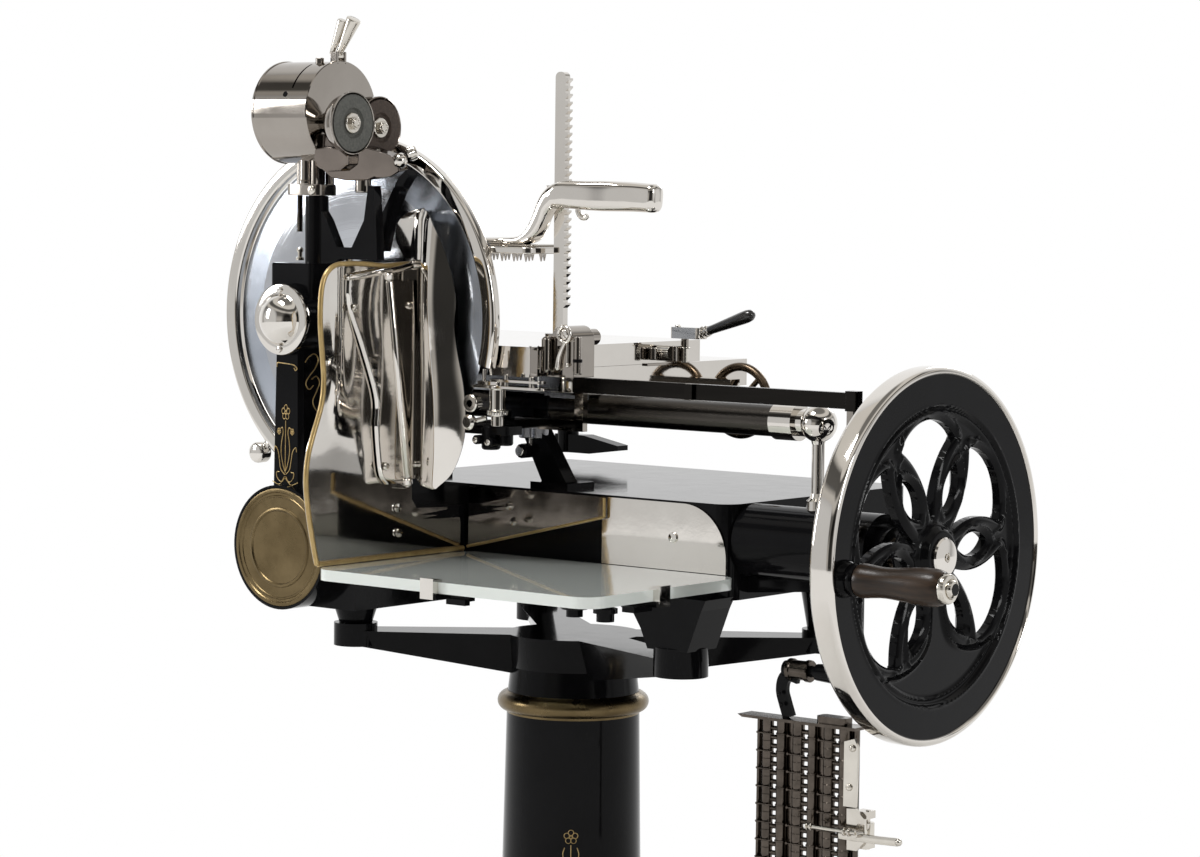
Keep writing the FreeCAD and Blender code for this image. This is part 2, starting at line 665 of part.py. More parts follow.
def slice_deflector():
    """Swinging leaf: a sheet from the hinge eye to its free edge."""
    start, end = deflector_axis()
    top = (start + vec(1, 3, 0), vec(97, -21.5, 54))
    low = (end + vec(1, 3, 0), vec(102, -19, -176))
    sheet = Part.makeRuledSurface(Part.makeLine(top[0], top[1]),
                                  Part.makeLine(low[0], low[1])).extrude(X * 2)
    eye = rod(start, end, 5.0)
    return fuse(sheet, eye).cut(rod(start - vec(0, 1, -7), end + vec(0, 1, -7), 2.5 + RUN))


def deflector_axis():
    return vec(98, -58, 44), vec(98, -26, -176)


# ---- tray and splash plates ---------------------------------------------------------
def splash_plate():
    """Nickel guard along the front of the bed, left of the back plate."""
    outline = [(96, -190), (294, -190), (294, -214), (96, -261)]
    sheet = prism([vec(x, 81, z) for x, z in outline], Y * SHEET_T)
    spacer = box(110, 280, 81 + SHEET_T, TABLE_Y0, -206, -194)
    return sheet.fuse(spacer)


def brass_trim():
    """Brass edging of the cover plate and of the splash plate."""
    strip = prism([vec(96, 79, -261), vec(294, 79, -214), vec(294, 79, -190),
                   vec(291, 79, -190), vec(291, 79, -211), vec(96, 79, -257.5)], Y * 2)
    return Part.makeCompound([cover_bead(), strip])


def back_plate():
    outline = Part.Wire([
        Part.makePolygon([vec(400, 83.5, -190), vec(288, 83.5, -190), vec(288, 83.5, -263.5),
                          vec(458, 83.5, -263.5), vec(458, 83.5, -248)]),
        Part.Arc(vec(458, 83.5, -248), vec(441, 83.5, -207), vec(400, 83.5, -190)).toShape()])
    return Part.Face(outline).extrude(Y * SHEET_T)


def tray_glass():
    return rounded_box(95, 480, -176, 81, TRAY_TOP_Z - TRAY_T, TRAY_TOP_Z, 24)


TRAY_BAR_TOP = TRAY_TOP_Z - TRAY_T


def tray_frame():
    """Bars below the glass, held by the bed, with their knobs and thumb plates."""
    low = TRAY_BAR_TOP - 6
    long_bar = box(CLIP_X - 11, CLIP_X + 11, -182, TABLE_Y0, low, TRAY_BAR_TOP)
    cross = box(COVER_X + SHEET_T / 2, 486, CLIP_Y - 11, CLIP_Y + 11, low, TRAY_BAR_TOP)
    side = box(400, 420, CLIP_Y - 11, TABLE_Y0, low, TRAY_BAR_TOP)
    stem = rod(vec(410, CLIP_Y, low - 12), vec(410, CLIP_Y, low), 8)
    knob = rod(vec(410, CLIP_Y, low - 22), vec(410, CLIP_Y, low - 6), 9.5)
    flange = rod(vec(410, CLIP_Y, low - 13), vec(410, CLIP_Y, low - 8), 13)
    bell = cone(vec(370, CLIP_Y - 2, low - 12), vec(370, CLIP_Y - 2, low), 14, 24)
    nut = rod(vec(370, CLIP_Y - 2, low - 20), vec(370, CLIP_Y - 2, low - 12), 9)
    plates = [box(CLIP_X + 20, CLIP_X + 46, -176, -168, low - 4, low + 2),
              box(CLIP_X + 11, CLIP_X + 46, -170, -160, low, TRAY_BAR_TOP),
              box(462, 478, CLIP_Y - 38, CLIP_Y - 8, low - 4, low + 2)]
    return fuse(long_bar, cross, side, stem, knob, flange, bell, nut, *plates)


def tray_clips():
    z0 = TRAY_BAR_TOP - 6
    x0, x1 = CLIP_X - 9, CLIP_X + 9
    y0, y1 = CLIP_Y - 9, CLIP_Y + 9
    front = box(x0, x1, -184.5, -182, z0, TRAY_TOP_Z + 4)
    front_lip = box(x0, x1, -184.5, -170, TRAY_TOP_Z, TRAY_TOP_Z + 2.5)
    front_pad = box(x0, x1, -182, -176, TRAY_BAR_TOP, TRAY_TOP_Z)
    right = box(486, 488.5, y0, y1, z0, TRAY_TOP_Z + 4)
    right_lip = box(474, 488.5, y0, y1, TRAY_TOP_Z, TRAY_TOP_Z + 2.5)
    right_pad = box(480, 486, y0, y1, TRAY_BAR_TOP, TRAY_TOP_Z)
    return Part.makeCompound([fuse(front, front_lip, front_pad),
                              fuse(right, right_lip, right_pad)])


# ---- guide way ----------------------------------------------------------------------
def tube_point(x):
    return vec(x, SHAFT_Y, TUBE_Z)


def guide_tube():
    tube = rod(tube_point(TUBE_X0), tube_point(TUBE_X1), TUBE_R)
    return tube.cut(rod(tube_point(TUBE_X0), tube_point(TUBE_X1), TUBE_R - 4))


def tube_stand(x, foot_x):
    """Black bracket: a saddle below the tube on a slanted leg."""
    low = TABLE_TOP_Z
    saddle = box(x - 16, x + 16, SHAFT_Y - 20, SHAFT_Y + 20, -122, -100)
    leg = prism([vec(foot_x - 26, SHAFT_Y - 10, low), vec(foot_x + 10, SHAFT_Y - 10, low),
                 vec(x + 14, SHAFT_Y - 10, -118), vec(x - 14, SHAFT_Y - 10, -118)], Y * 20)
    foot = box(foot_x - 34, foot_x + 20, SHAFT_Y - 24, SHAFT_Y + 24, low, low + 6)
    shape = fuse(saddle, leg, foot)
    return shape.cut(rod(tube_point(x - 20), tube_point(x + 20), TUBE_R))


def tube_stands():
    return Part.makeCompound([tube_stand(150, 200), tube_stand(-36, -12)])


def ball_post():
    """Turned post with a ball that holds the right end of the tube."""
    foot_z = SHAFT_Z + HOUSING_R - 6
    stem = turned([(0, foot_z), (12, foot_z), (12, foot_z + 14), (8.5, foot_z + 17),
                   (7, foot_z + 22), (7, TUBE_Z - 22), (9, TUBE_Z - 14), (0, TUBE_Z - 14)],
                  vec(544, SHAFT_Y, 0), Z)
    ball = Part.makeSphere(20, tube_point(544))
    neck = rod(tube_point(TUBE_X1), tube_point(544), 15)
    collar = rod(tube_point(TUBE_X1), tube_point(520), 20)
    shape = fuse(stem, ball, neck, collar)
    return shape.cut(rod(vec(TABLE_X1, SHAFT_Y, SHAFT_Z), vec(HOUSING_X1, SHAFT_Y, SHAFT_Z),
                         HOUSING_R))


def feed_rail():
    bar = box(247, 620, 80, 88, -77, -60)
    cap = rounded_box(612, 628, 77.5, 90.5, -79, -58, 3)
    tab = box(405, 415, 76, 80, -77, -60)
    return fuse(bar, cap, tab)


def rail_bracket():
    """Post of the rail on the shaft housing and its left hanger on the tube stand."""
    post = box(614, 622, 80, 88, -205, -79)
    foot = box(606, 626, 80, 110, -211, -199)
    right = fuse(post, foot).cut(rod(vec(TABLE_X1, SHAFT_Y, SHAFT_Z),
                                     vec(HOUSING_X1, SHAFT_Y, SHAFT_Z), HOUSING_R))
    drop = box(250, 262, 80, 88, -112, -77)
    arm = box(164, 262, 80, 88, -120, -108)
    link = box(164, 176, 80, 110, -120, -108)
    return Part.makeCompound([right, fuse(drop, arm, link)])


# ---- gauge cluster ------------------------------------------------------------------
def gauge_bracket():
    """Black arm from the tube stand to the pieces at the open end of the guard."""
    arm = box(138, 164, 6, 110, -122, -112)
    shelf = box(GAUGE_X - 36, GAUGE_X + 67, -7, 22, -122, -112)
    boss = rod(vec(GAUGE_X + 47, 6, -150), vec(GAUGE_X + 47, 6, -122), 13)
    clamp = rounded_box(GAUGE_X + 33, GAUGE_X + 63, -8, 20, -166, -150, 5)
    return fuse(arm, shelf, boss, clamp)


def gauge_cluster():
    """Nickel levers, adjusting drum and knobs on the bracket."""
    x = GAUGE_X
    shelf_z = -112
    top = GAUGE_TOP_Z
    drum = rod(vec(x + 15, -6, shelf_z), vec(x + 15, -6, top - 16), 12)
    drum_head = rod(vec(x + 15, -6, top - 18), vec(x + 15, -6, top - 8), 15)
    neck = rod(vec(x + 15, -5, top - 10), vec(x + 15, -5, top - 3), 7)
    plate = rounded_box(x - 7, x + 103, -16, 8, top - 6, top - 2, 7)
    lever = rounded_box(x - 3, x + 73, -10, 4, top - 2, top, 6)
    pin = rod(vec(x, 0, top - 6), vec(x, 0, top + 14), 4)
    tall = rod(vec(x, -8, shelf_z), vec(x, -8, top - 6), 4)
    knob_stem = rod(vec(x - 9, -20, -92), vec(x + 15, -8, -92), 3)
    knob = rod(vec(x - 9, -24, -92), vec(x - 9, -16, -92), 10)
    knob_low = rod(vec(x - 13, -24, -116), vec(x - 13, -14, -116), 9)
    low_stem = rod(vec(x - 13, -19, -112), vec(x, -8, -104), 3)
    post = rod(vec(x + 67, -4, shelf_z), vec(x + 67, -4, top - 6), 5)
    ledge = box(x + 55, x + 67, -7, 4, shelf_z - 10, shelf_z)
    return fuse(drum, drum_head, neck, plate, lever, pin, tall, knob_stem, knob, low_stem,
                knob_low, post).cut(ledge)


# ---- carriage -----------------------------------------------------------------------
def carriage_base():
    body = rounded_box(CARRIAGE_X0, CARRIAGE_X1, 92, 405, -81, CARRIAGE_TOP_Z, 6)
    shoes = [box(a, b, SHAFT_Y - 13, SHAFT_Y + 13, -92, -80) for a, b in ((-20, 44), (176, 240))]
    feed_arm = box(CARRIAGE_X1 - 4, 308, 290, 308, -106, -68)
    shape = body.multiFuse(shoes + [feed_arm])
    shape = shape.cut(rod(tube_point(-200), tube_point(260), TUBE_R + RUN))
    return shape.cut(rod(vec(296, 280, -94), vec(296, 320, -94), 6 + RUN))


def carriage_leg():
    """Leg at the back of the carriage with a flat arm at its foot."""
    leg = rod(vec(-11, 390, -174), vec(-11, 390, -81), 13)
    arm = prism([vec(-24, 380, -174), vec(30, 380, -174), vec(74, 380, -168),
                 vec(74, 380, -162), vec(20, 380, -152), vec(-24, 380, -152)], Y * 20)
    return fuse(leg, arm)


def meat_table():
    top = rounded_box(CARRIAGE_X0 + 10, CARRIAGE_X1, 10, 312, CARRIAGE_TOP_Z + GAP,
                      MEAT_TABLE_TOP_Z, 5)
    apron = box(20, CARRIAGE_X1 - 6, 10, 16, -58, -40)
    shape = top.fuse(apron)
    slots = [box(x - 1.2, x + 1.2, 8, 13, z - 6, z + 6) for x, z in ((213, -36), (219, -52))]
    return shape.cut(slots)


def rack_post():
    """Flat post with teeth cut in its right edge."""
    bar = box(RACK_X - 8, RACK_X + 6, RACK_Y - 4, RACK_Y + 4, -30, RACK_TOP_Z)
    bar = round_edges(bar, 6, lambda e: along(Y)(e) and e.BoundBox.ZMin > RACK_TOP_Z - 1)
    teeth = []
    for index in range(30):
        z = 18 + 8.4 * index
        teeth.append(prism([vec(RACK_X + 6, RACK_Y - 4, z), vec(RACK_X + 6, RACK_Y - 4, z + 6),
                            vec(RACK_X + 10, RACK_Y - 4, z + 5.4),
                            vec(RACK_X + 10, RACK_Y - 4, z + 3.4)], Y * 8))
    return bar.multiFuse(teeth)


def rack_clamp():
    """Clamp on the right face of the meat table that holds the post."""
    block = rounded_box(CARRIAGE_X1, RACK_X + 12, 22, 60, -57, -6, 4)
    cross = rod(vec(RACK_X + 2, 16, -16), vec(RACK_X + 2, 74, -16), 9)
    bolt = rod(vec(RACK_X + 20, RACK_Y, -57), vec(RACK_X + 20, RACK_Y, -12), 6)
    eye = box(RACK_X + 10, RACK_X + 20, 34, 46, -50, -20)
    foot = box(CARRIAGE_X1, RACK_X - 2, 12, 24, -57, -22)
    shape = fuse(block, cross, bolt, eye, foot)
    return shape.cut(box(RACK_X - 8, RACK_X + 6, RACK_Y - 4, RACK_Y + 4, -30, 0))


def meat_holder():
    """Cranked arm that slides on the post; its left end presses on the meat."""
    y0 = RACK_Y - 11
    outer = [(150, 91), (216, 92), (230, 96), (240, 104), (250, 122), (260, 137), (272, 146),
             (290, 152), (330, 155), (374, 156), (386, 153), (391, 146), (391, 136),
             (386, 129), (340, 127), (300, 126), (284, 123), (272, 115), (262, 101),
             (250, 82), (150, 81)]
    arm = prism([vec(x, y0, z) for x, z in outer], Y * 22)
    plate = rounded_box(110, 244, RACK_Y - 31, RACK_Y + 46, SPIKE_PLATE_Z, SPIKE_PLATE_Z + 6, 12)
    slot = box(RACK_X - 8 - GAP, RACK_X + 10 + GAP, RACK_Y - 4 - GAP, RACK_Y + 4 + GAP, 60, 200)
    pawl = prism([vec(284, RACK_Y - 4, 127), vec(290, RACK_Y - 4, 116),
                  vec(294, RACK_Y - 4, 127)], Y * 8)
    trigger = rod(vec(304, RACK_Y - 6, 123), vec(304, RACK_Y + 6, 123), 6)
    return fuse(arm, plate, pawl, trigger).cut(slot)


def holder_spikes():
    spikes = []
    for column in range(7):
        for row in range(3):
            x = 126 + 17 * column
            y = RACK_Y - 20 + 26 * row
            spikes.append(cone(vec(x, y, SPIKE_PLATE_Z), vec(x, y, SPIKE_PLATE_Z - 13), 3.0, 0.6))
    return Part.makeCompound(spikes)


def feed_lever():
    """Feed lever block with its clamp plate, turning on a stud of the meat table."""
    block = rounded_box(268, 316, 226, 244, -16, -3, 4)
    hub = rod(vec(284, 235, -24), vec(284, 235, -3), 12)
    arm = cone(vec(310, 235, -10), vec(335, 235, -1.5), 5, 6)
    shape = fuse(block, hub, arm)
    return shape.cut(rod(vec(284, 235, -60), vec(284, 235, 4), 4 + RUN))


def lever_stud():
    """Stud, bracket and small drum below the feed lever, fixed to the meat table."""
    bracket = box(CARRIAGE_X1, 296, 225, 245, -36, -24 - GAP)
    stud = rod(vec(284, 235, -30), vec(284, 235, 2), 4)
    drum = rod(vec(284, 235, -49), vec(284, 235, -36), 10)
    return fuse(bracket, stud, rod(vec(284, 235, -3 + GAP), vec(284, 235, 3), 7), drum)


def lever_grip():
    return turned([(0, 0), (6, 0), (7, 10), (9, 34), (8, 52), (4, 58), (0, 58)],
                  vec(335, 235, -1.5), vec(0.94, 0, 0.33).normalize())


def feed_wheel():
    """Bronze hand wheel with four spokes on the feed screw."""
    centre = vec(296, 326, -94)
    rim = Part.makeTorus(39, 5, centre, Y)
    hub = rod(centre - Y * 8, centre + Y * 8, 10)
    spokes = []
    for index in range(4):
        u, w = polar(36, 45 + 90 * index)
        spokes.append(rod(centre, centre + vec(u, 0, w), 3.2))
    shape = fuse(rim, hub, *spokes)
    return shape.cut(rod(centre - Y * 20, centre + Y * 20, 6))


def feed_screw():
    stem = rod(vec(296, 270, -94), vec(296, 336, -94), 6)
    flange = rod(vec(296, 282, -94), vec(296, 290 - GAP, -94), 10)
    return fuse(stem, flange)


# ---- sharpener ----------------------------------------------------------------------
def sharpener_post():
    """Black post with its side yoke on top of the gear column."""
    tube = rod(vec(0, DRUM_Y, BLOCK_TOP_Z), vec(0, DRUM_Y, 136), 13)
    inner = rod(vec(0, DRUM_Y, 136), vec(0, DRUM_Y, 214), 9)
    yoke = prism([vec(8, DRUM_Y - 6, 62), vec(31, DRUM_Y - 6, 62), vec(40, DRUM_Y - 6, 67),
                  vec(96, DRUM_Y - 6, 67), vec(94, DRUM_Y - 6, 110), vec(90, DRUM_Y - 6, 148),
                  vec(82, DRUM_Y - 6, 148), vec(76, DRUM_Y - 6, 110), vec(58, DRUM_Y - 6, 80),
                  vec(36, DRUM_Y - 6, 80), vec(20, DRUM_Y - 6, 110), vec(12, DRUM_Y - 6, 120)],
                 Y * 12)
    guide = prism([vec(68, -52, 78), vec(82, -52, 76), vec(92, -52, 114), vec(106, -52, 142),
                   vec(120, -52, 160), vec(116, -52, 166), vec(104, -52, 156),
                   vec(80, -52, 116)], Y * 14)
    link = box(70, 84, DRUM_Y, -45, 76, 90)
    return fuse(tube, inner, yoke, guide, link)


def sharpener_drum():
    """Drum housing with its collar, studs, thread rod and stone carrier."""
    drum = rod(vec(DRUM_X0, DRUM_Y, DRUM_Z), vec(DRUM_X1, DRUM_Y, DRUM_Z), DRUM_R)
    collar = rounded_box(-34, 18, DRUM_Y - 17, DRUM_Y + 17, 136 + GAP, 149, 7)
    studs = [rod(vec(x, y, 148), vec(x, y, 190), 5)
             for x, y in ((-24, DRUM_Y), (8, DRUM_Y - 12), (8, DRUM_Y + 12))]
    thread = rod(vec(-26, DRUM_Y, 96), vec(-26, DRUM_Y, 137), 3.5)
    carrier = rounded_box(DRUM_X1 - 2, 100, -104, -24, 158, 172, 8)
    riser = box(DRUM_X1 - 2, DRUM_X1 + 4, -100, -34, 168, 200)
    screw_ball = Part.makeSphere(6, vec(106, -40, 178))
    screw_stem = rod(vec(92, -40, 168), vec(106, -40, 178), 3.5)
    pins = [rod(vec(DRUM_X1, y, z), vec(x1 + 4, y, z), 4) for _, x1, y, z, _ in STONES]
    nuts = [rod(vec(x1 - 3 + GAP, y, z), vec(x1 + 5, y, z), 9) for _, x1, y, z, _ in STONES]
    ears = [box(26, DRUM_X1, a, b, 280, 295) for a, b in ((DRUM_Y - 8, DRUM_Y - 4.6),
                                                          (DRUM_Y + 4.6, DRUM_Y + 8))]
    ear_pin = rod(vec(CAM_X, DRUM_Y - 7, CAM_Z), vec(CAM_X, DRUM_Y + 7, CAM_Z), 2)
    shape = fuse(drum, collar, carrier, riser, thread, ear_pin, screw_ball, screw_stem,
                 stone_cup(), stone_hood(), *(studs + pins + nuts + ears))
    slot = box(-20, 14, DRUM_Y - 2, DRUM_Y + 2, 280, 290)
    hole = rod(vec(-6, DRUM_Y - 60, DRUM_Z + 24), vec(-6, DRUM_Y - 44, DRUM_Z + 24), 4)
    bore = rod(vec(0, DRUM_Y, 130), vec(0, DRUM_Y, 218), 9 + RUN)
    return shape.cut([slot, hole, bore])


# Stones: (back x, front x, y, z, radius).
STONE_A = (66.0, 81.0, -99.0, 216.0, 31.0)
STONE_B = (53.0, 65.0, -36.5, 212.0, 31.0)
STONES = (STONE_A, STONE_B)
CAM_X = 31.0
CAM_Z = 290.5


def stone_cup():
    """Nickel bell behind the truing stone, open at its face."""
    x0, x1, y, z, radius = STONE_A
    r = radius + 2
    profile = [(0, DRUM_X1 - 1), (10, DRUM_X1 - 1), (13, x0 - 22), (20, x0 - 14),
               (r - 7.5, x0 - 6), (r - 5.5, x0 - 2), (r + 2, x0 + 1), (r + 2, x1 - 2),
               (r, x1 - 2), (r, x0 + 3), (r - 4, x0), (r - 8, x0 - 4), (0, x0 - 4)]
    return turned(profile, vec(0, y, z), X)


def stone_hood():
    """Hood over the back and the rim of the honing stone, open below."""
    x0, x1, y, z, radius = STONE_B
    r = radius + 1.5
    profile = [(0, x0 - 6), (r + 2, x0 - 6), (r + 2, x1 - 2), (r, x1 - 2), (r, x0 - 3),
               (0, x0 - 3)]
    hood = turned(profile, vec(0, y, z), X)
    stem = rod(vec(DRUM_X1 - 1, y, z), vec(x0 - 4, y, z), 8)
    return hood.cut(box(x0 - 7, x1, y - 50, y + 50, z - 50, z - 10)).fuse(stem)


def stone(place):
    """Cup stone, bored to run on its pin."""
    x0, x1, y, z, radius = place
    profile = [(4 + RUN, x0), (radius - 4, x0), (radius, x0 + 5), (radius, x1),
               (radius - 14, x1), (radius - 16, x1 - 3), (4 + RUN, x1 - 3)]
    return turned(profile, vec(0, y, z), X)


def truing_stone():
    return stone(STONE_A)


def honing_stone():
    return stone(STONE_B)


def sharpener_lever():
    start = vec(CAM_X, DRUM_Y, CAM_Z)
    run = vec(0.50, 0, 0.866).normalize()
    hub = rod(start - Y * 4.2, start + Y * 4.2, 4.5)
    stem = cone(start, start + run * 46, 3.6, 8.5)
    return fuse(hub, stem).cut(rod(start - Y * 10, start + Y * 10, 2 + RUN))


# ---- stacker ------------------------------------------------------------------------
def pivot_point(x):
    return vec(x, STACKER_Y, STACKER_PIVOT_Z)


def stacker_hanger():
    drop = rod(vec(592, STACKER_Y, STACKER_PIVOT_Z), vec(592, STACKER_Y, SHAFT_Z - 30), 12)
    arm = cone(pivot_point(592), pivot_point(548), 12, 9)
    pin = rod(pivot_point(556), pivot_point(510), 6)
    head = rod(pivot_point(506), pivot_point(510), 9)
    elbow = Part.makeSphere(12, pivot_point(592))
    shape = fuse(drop, arm, pin, head, elbow)
    return shape.cut(rod(vec(TABLE_X1, SHAFT_Y, SHAFT_Z), vec(HOUSING_X1, SHAFT_Y, SHAFT_Z),
                         HOUSING_R))


def stacker_frame():
    """Hanging link, top plate and side plates that carry the chains."""
    eye = rod(pivot_point(510 + GAP), pivot_point(540), 12)
    link = prism([vec(514, STACKER_Y - 4, -366), vec(530, STACKER_Y - 4, -366),
                  vec(514, STACKER_Y - 4, -398), vec(520, STACKER_Y - 4, -417),
                  vec(500, STACKER_Y - 4, -417), vec(502, STACKER_Y - 4, -396)], Y * 8)
    plate = box(457, 606, STACKER_Y - 13, STACKER_Y + 13, -420, -416)
    left = box(458, 461, STACKER_Y - 11, STACKER_Y + 11, -640, -419)
    right = box(603, 606, STACKER_Y - 16, STACKER_Y + 16, -640, -420)
    foot = box(458, 606, STACKER_Y - 11, STACKER_Y + 11, -643, -639)
    lugs = [box(606, 624, STACKER_Y - 8, STACKER_Y + 8, z, z + 5) for z in (-517, -538)]
    pin = rod(vec(616, STACKER_Y, -538), vec(616, STACKER_Y, -512), 2.5)
    bars = [rod(vec(x, STACKER_Y, -640), vec(x, STACKER_Y, -418), 3) for x in CHAIN_X]
    shape = fuse(eye, link, plate, left, right, foot, pin, *(lugs + bars))
    return shape.cut(rod(pivot_point(500), pivot_point(560), 6 + RUN))


CHAIN_X = (484.0, 530.0, 576.0)


def stacker_chains():
    """Three upright chains of rollers and side links on their bars."""
    links = []
    for x in CHAIN_X:
        for index in range(11):
            z = -424 - 19.4 * index
            body = rounded_box(x - 13, x + 13, STACKER_Y - 7, STACKER_Y + 7, z - 15, z, 5)
            links.append(body.cut(rod(vec(x, STACKER_Y, z - 20), vec(x, STACKER_Y, z + 5), 3)))
    return Part.makeCompound(links)


def stacker_lever():
    hub = rod(vec(616, STACKER_Y, -533 + GAP), vec(616, STACKER_Y, -517 - GAP), 7)
    bar = rod(vec(616, STACKER_Y, -525), vec(664, STACKER_Y, -525), 3.2)
    crank = rod(vec(616, STACKER_Y, -525), vec(616, STACKER_Y - 26, -525), 3.2)
    tail = rod(vec(618, STACKER_Y - 26, -525), vec(540, STACKER_Y - 26, -525), 3.2)
    knob = Part.makeSphere(5, vec(664, STACKER_Y, -525))
    shape = fuse(hub, bar, crank, tail, knob)
    return shape.cut(rod(vec(616, STACKER_Y, -545), vec(616, STACKER_Y, -505), 2.5 + RUN))


# ---- screws -------------------------------------------------------------------------
def screw(place, normal, radius=5.0):
    """Domed head standing on a face."""
    return turned([(0, 0), (radius, 0), (radius * 0.9, 2.0), (0, 2.8)], place, normal)


def panel_screws():
    heads = [screw(vec(COVER_X + SHEET_T / 2, -34, -214 + 6), X),
             screw(vec(COVER_X + SHEET_T / 2, -32, -236), X),
             screw(vec(157, 81, -209), -Y), screw(vec(164, 81, -226), -Y),
             screw(vec(387, 83.5, -228), -Y, 6.0),
             screw(vec(0, -122 - 6.5, 33), -Y, 3.6), screw(vec(0, -122 - 6.5, -33), -Y, 3.6)]
    return Part.makeCompound(heads)


# ---- output -------------------------------------------------------------------------
PIECES = {
    "pedestal_foot": pedestal_foot,
    "pedestal_column": pedestal_column,
    "pedestal_collar": pedestal_collar,
    "pedestal_head": pedestal_head,
    "bed_casting": bed_casting,
    "shaft_housing": shaft_housing,
    "shaft_bushes": shaft_bushes,
    "gear_column": gear_column,
    "case_lid": case_lid,
    "hub_dome": hub_dome,
    "guard_ring": guard_ring,
    "blade": blade,
    "blade_shaft": blade_shaft,
    "vertical_shaft": vertical_shaft,
    "cross_shaft": cross_shaft,
    "main_shaft": main_shaft,
    "flywheel_rim": flywheel_rim,
    "flywheel_web": flywheel_web,
    "flywheel_cap": flywheel_cap,
    "handle_spindle": handle_spindle,
    "wooden_grip": wooden_grip,
    "grip_ferrule": grip_ferrule,
    "cover_plate": cover_plate,
    "brass_trim": brass_trim,
    "wing_plate": wing_plate,
    "slice_deflector": slice_deflector,
    "splash_plate": splash_plate,
    "panel_screws": panel_screws,
    "back_plate": back_plate,
    "tray_glass": tray_glass,
    "tray_frame": tray_frame,
    "tray_clips": tray_clips,
    "guide_tube": guide_tube,
    "tube_stands": tube_stands,
    "ball_post": ball_post,
    "feed_rail": feed_rail,
    "rail_bracket": rail_bracket,
    "gauge_bracket": gauge_bracket,
    "gauge_cluster": gauge_cluster,
    "carriage_base": carriage_base,
    "carriage_leg": carriage_leg,
    "meat_table": meat_table,
    "rack_post": rack_post,
    "rack_clamp": rack_clamp,
    "meat_holder": meat_holder,
    "holder_spikes": holder_spikes,
    "lever_stud": lever_stud,
    "feed_lever": feed_lever,
    "lever_grip": lever_grip,
    "feed_wheel": feed_wheel,
    "feed_screw": feed_screw,
    "sharpener_post": sharpener_post,
    "sharpener_drum": sharpener_drum,
    "sharpener_lever": sharpener_lever,
    "truing_stone": truing_stone,
    "honing_stone": honing_stone,
    "stacker_hanger": stacker_hanger,
    "stacker_frame": stacker_frame,
    "stacker_chains": stacker_chains,
    "stacker_lever": stacker_lever,
}


def main():
    os.makedirs("parts", exist_ok=True)
    for name, make in PIECES.items():
        shape = make()
        shape.translate(MACHINE_SHIFT)
        shape.exportStep("parts/" + name + ".step")


main()
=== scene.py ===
import json
from math import atan2, copysign, cos, hypot, pi, radians, sin

import bpy
import bmesh
import numpy as np
from mathutils import Matrix, Vector


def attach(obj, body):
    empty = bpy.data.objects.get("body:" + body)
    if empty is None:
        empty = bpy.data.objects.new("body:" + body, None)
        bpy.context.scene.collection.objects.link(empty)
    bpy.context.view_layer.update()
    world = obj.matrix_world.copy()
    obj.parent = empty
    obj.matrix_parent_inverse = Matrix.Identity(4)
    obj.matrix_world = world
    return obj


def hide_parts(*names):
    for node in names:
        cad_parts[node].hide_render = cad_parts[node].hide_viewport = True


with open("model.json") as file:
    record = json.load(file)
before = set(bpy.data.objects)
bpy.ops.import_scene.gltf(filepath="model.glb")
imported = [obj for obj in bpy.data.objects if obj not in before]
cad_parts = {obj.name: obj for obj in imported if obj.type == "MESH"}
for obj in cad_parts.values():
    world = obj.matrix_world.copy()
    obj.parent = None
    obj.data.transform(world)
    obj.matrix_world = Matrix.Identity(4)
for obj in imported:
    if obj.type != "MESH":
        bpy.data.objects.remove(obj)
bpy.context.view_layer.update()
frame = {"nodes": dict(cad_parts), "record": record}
NODES = frame["nodes"]

# Everything below is written in millimetres about the blade centre, as the solids are:
# +X to the flywheel, +Y to the meat table, +Z up.  SHIFT moves it into the row frame.
SHIFT = Vector((-180.0, -170.0, 1130.0))
MM = 0.001
X = Vector((1, 0, 0))
Y = Vector((0, 1, 0))
Z = Vector((0, 0, 1))


def v(x, y, z):
    return Vector((x, y, z))


BLADE_CENTRE = v(0, 0, 0)
PEDESTAL = v(180, 170, 0)
FLOOR_Z = -1130.0


# ---- materials ----------------------------------------------------------------------
def feed(tree, made, inputs):
    """Sets a node's inputs; each takes a constant or another node's output."""
    for key, value in inputs.items():
        if isinstance(value, bpy.types.NodeSocket):
            tree.links.new(value, made.inputs[key])
        else:
            made.inputs[key].default_value = value


def node(tree, kind, inputs=None, **settings):
    made = tree.nodes.new(kind)
    for key, value in settings.items():
        setattr(made, key, value)
    feed(tree, made, inputs or {})
    return made


def new_material(name):
    mat = bpy.data.materials.new(name)
    mat.use_nodes = True
    tree = mat.node_tree
    coord = node(tree, "ShaderNodeTexCoord").outputs["Object"]
    return mat, tree, tree.nodes["Principled BSDF"], coord


def noise_on(tree, coord, scale, detail=3.0, rough=0.55, stretch=(1, 1, 1)):
    mapping = node(tree, "ShaderNodeMapping", {"Scale": stretch, "Vector": coord})
    noise = node(tree, "ShaderNodeTexNoise", {"Scale": scale, "Detail": detail,
                                              "Roughness": rough, "Vector": mapping.outputs[0]})
    return noise.outputs["Fac"]


def span(tree, value, low, high, from_low=0.3, from_high=0.7, **settings):
    """Maps the value from one range to another, and holds it at the ends."""
    ranged = node(tree, "ShaderNodeMapRange", {"Value": value, "From Min": from_low,
                                               "From Max": from_high, "To Min": low,
                                               "To Max": high}, **settings)
    return ranged.outputs[0]


def blend_colour(tree, value, first, second):
    mix = node(tree, "ShaderNodeMix", {0: value, 6: (*first, 1), 7: (*second, 1)},
               data_type="RGBA")
    return mix.outputs[2]


def vector_math(tree, operation, output, inputs):
    return node(tree, "ShaderNodeVectorMath", inputs, operation=operation).outputs[output]


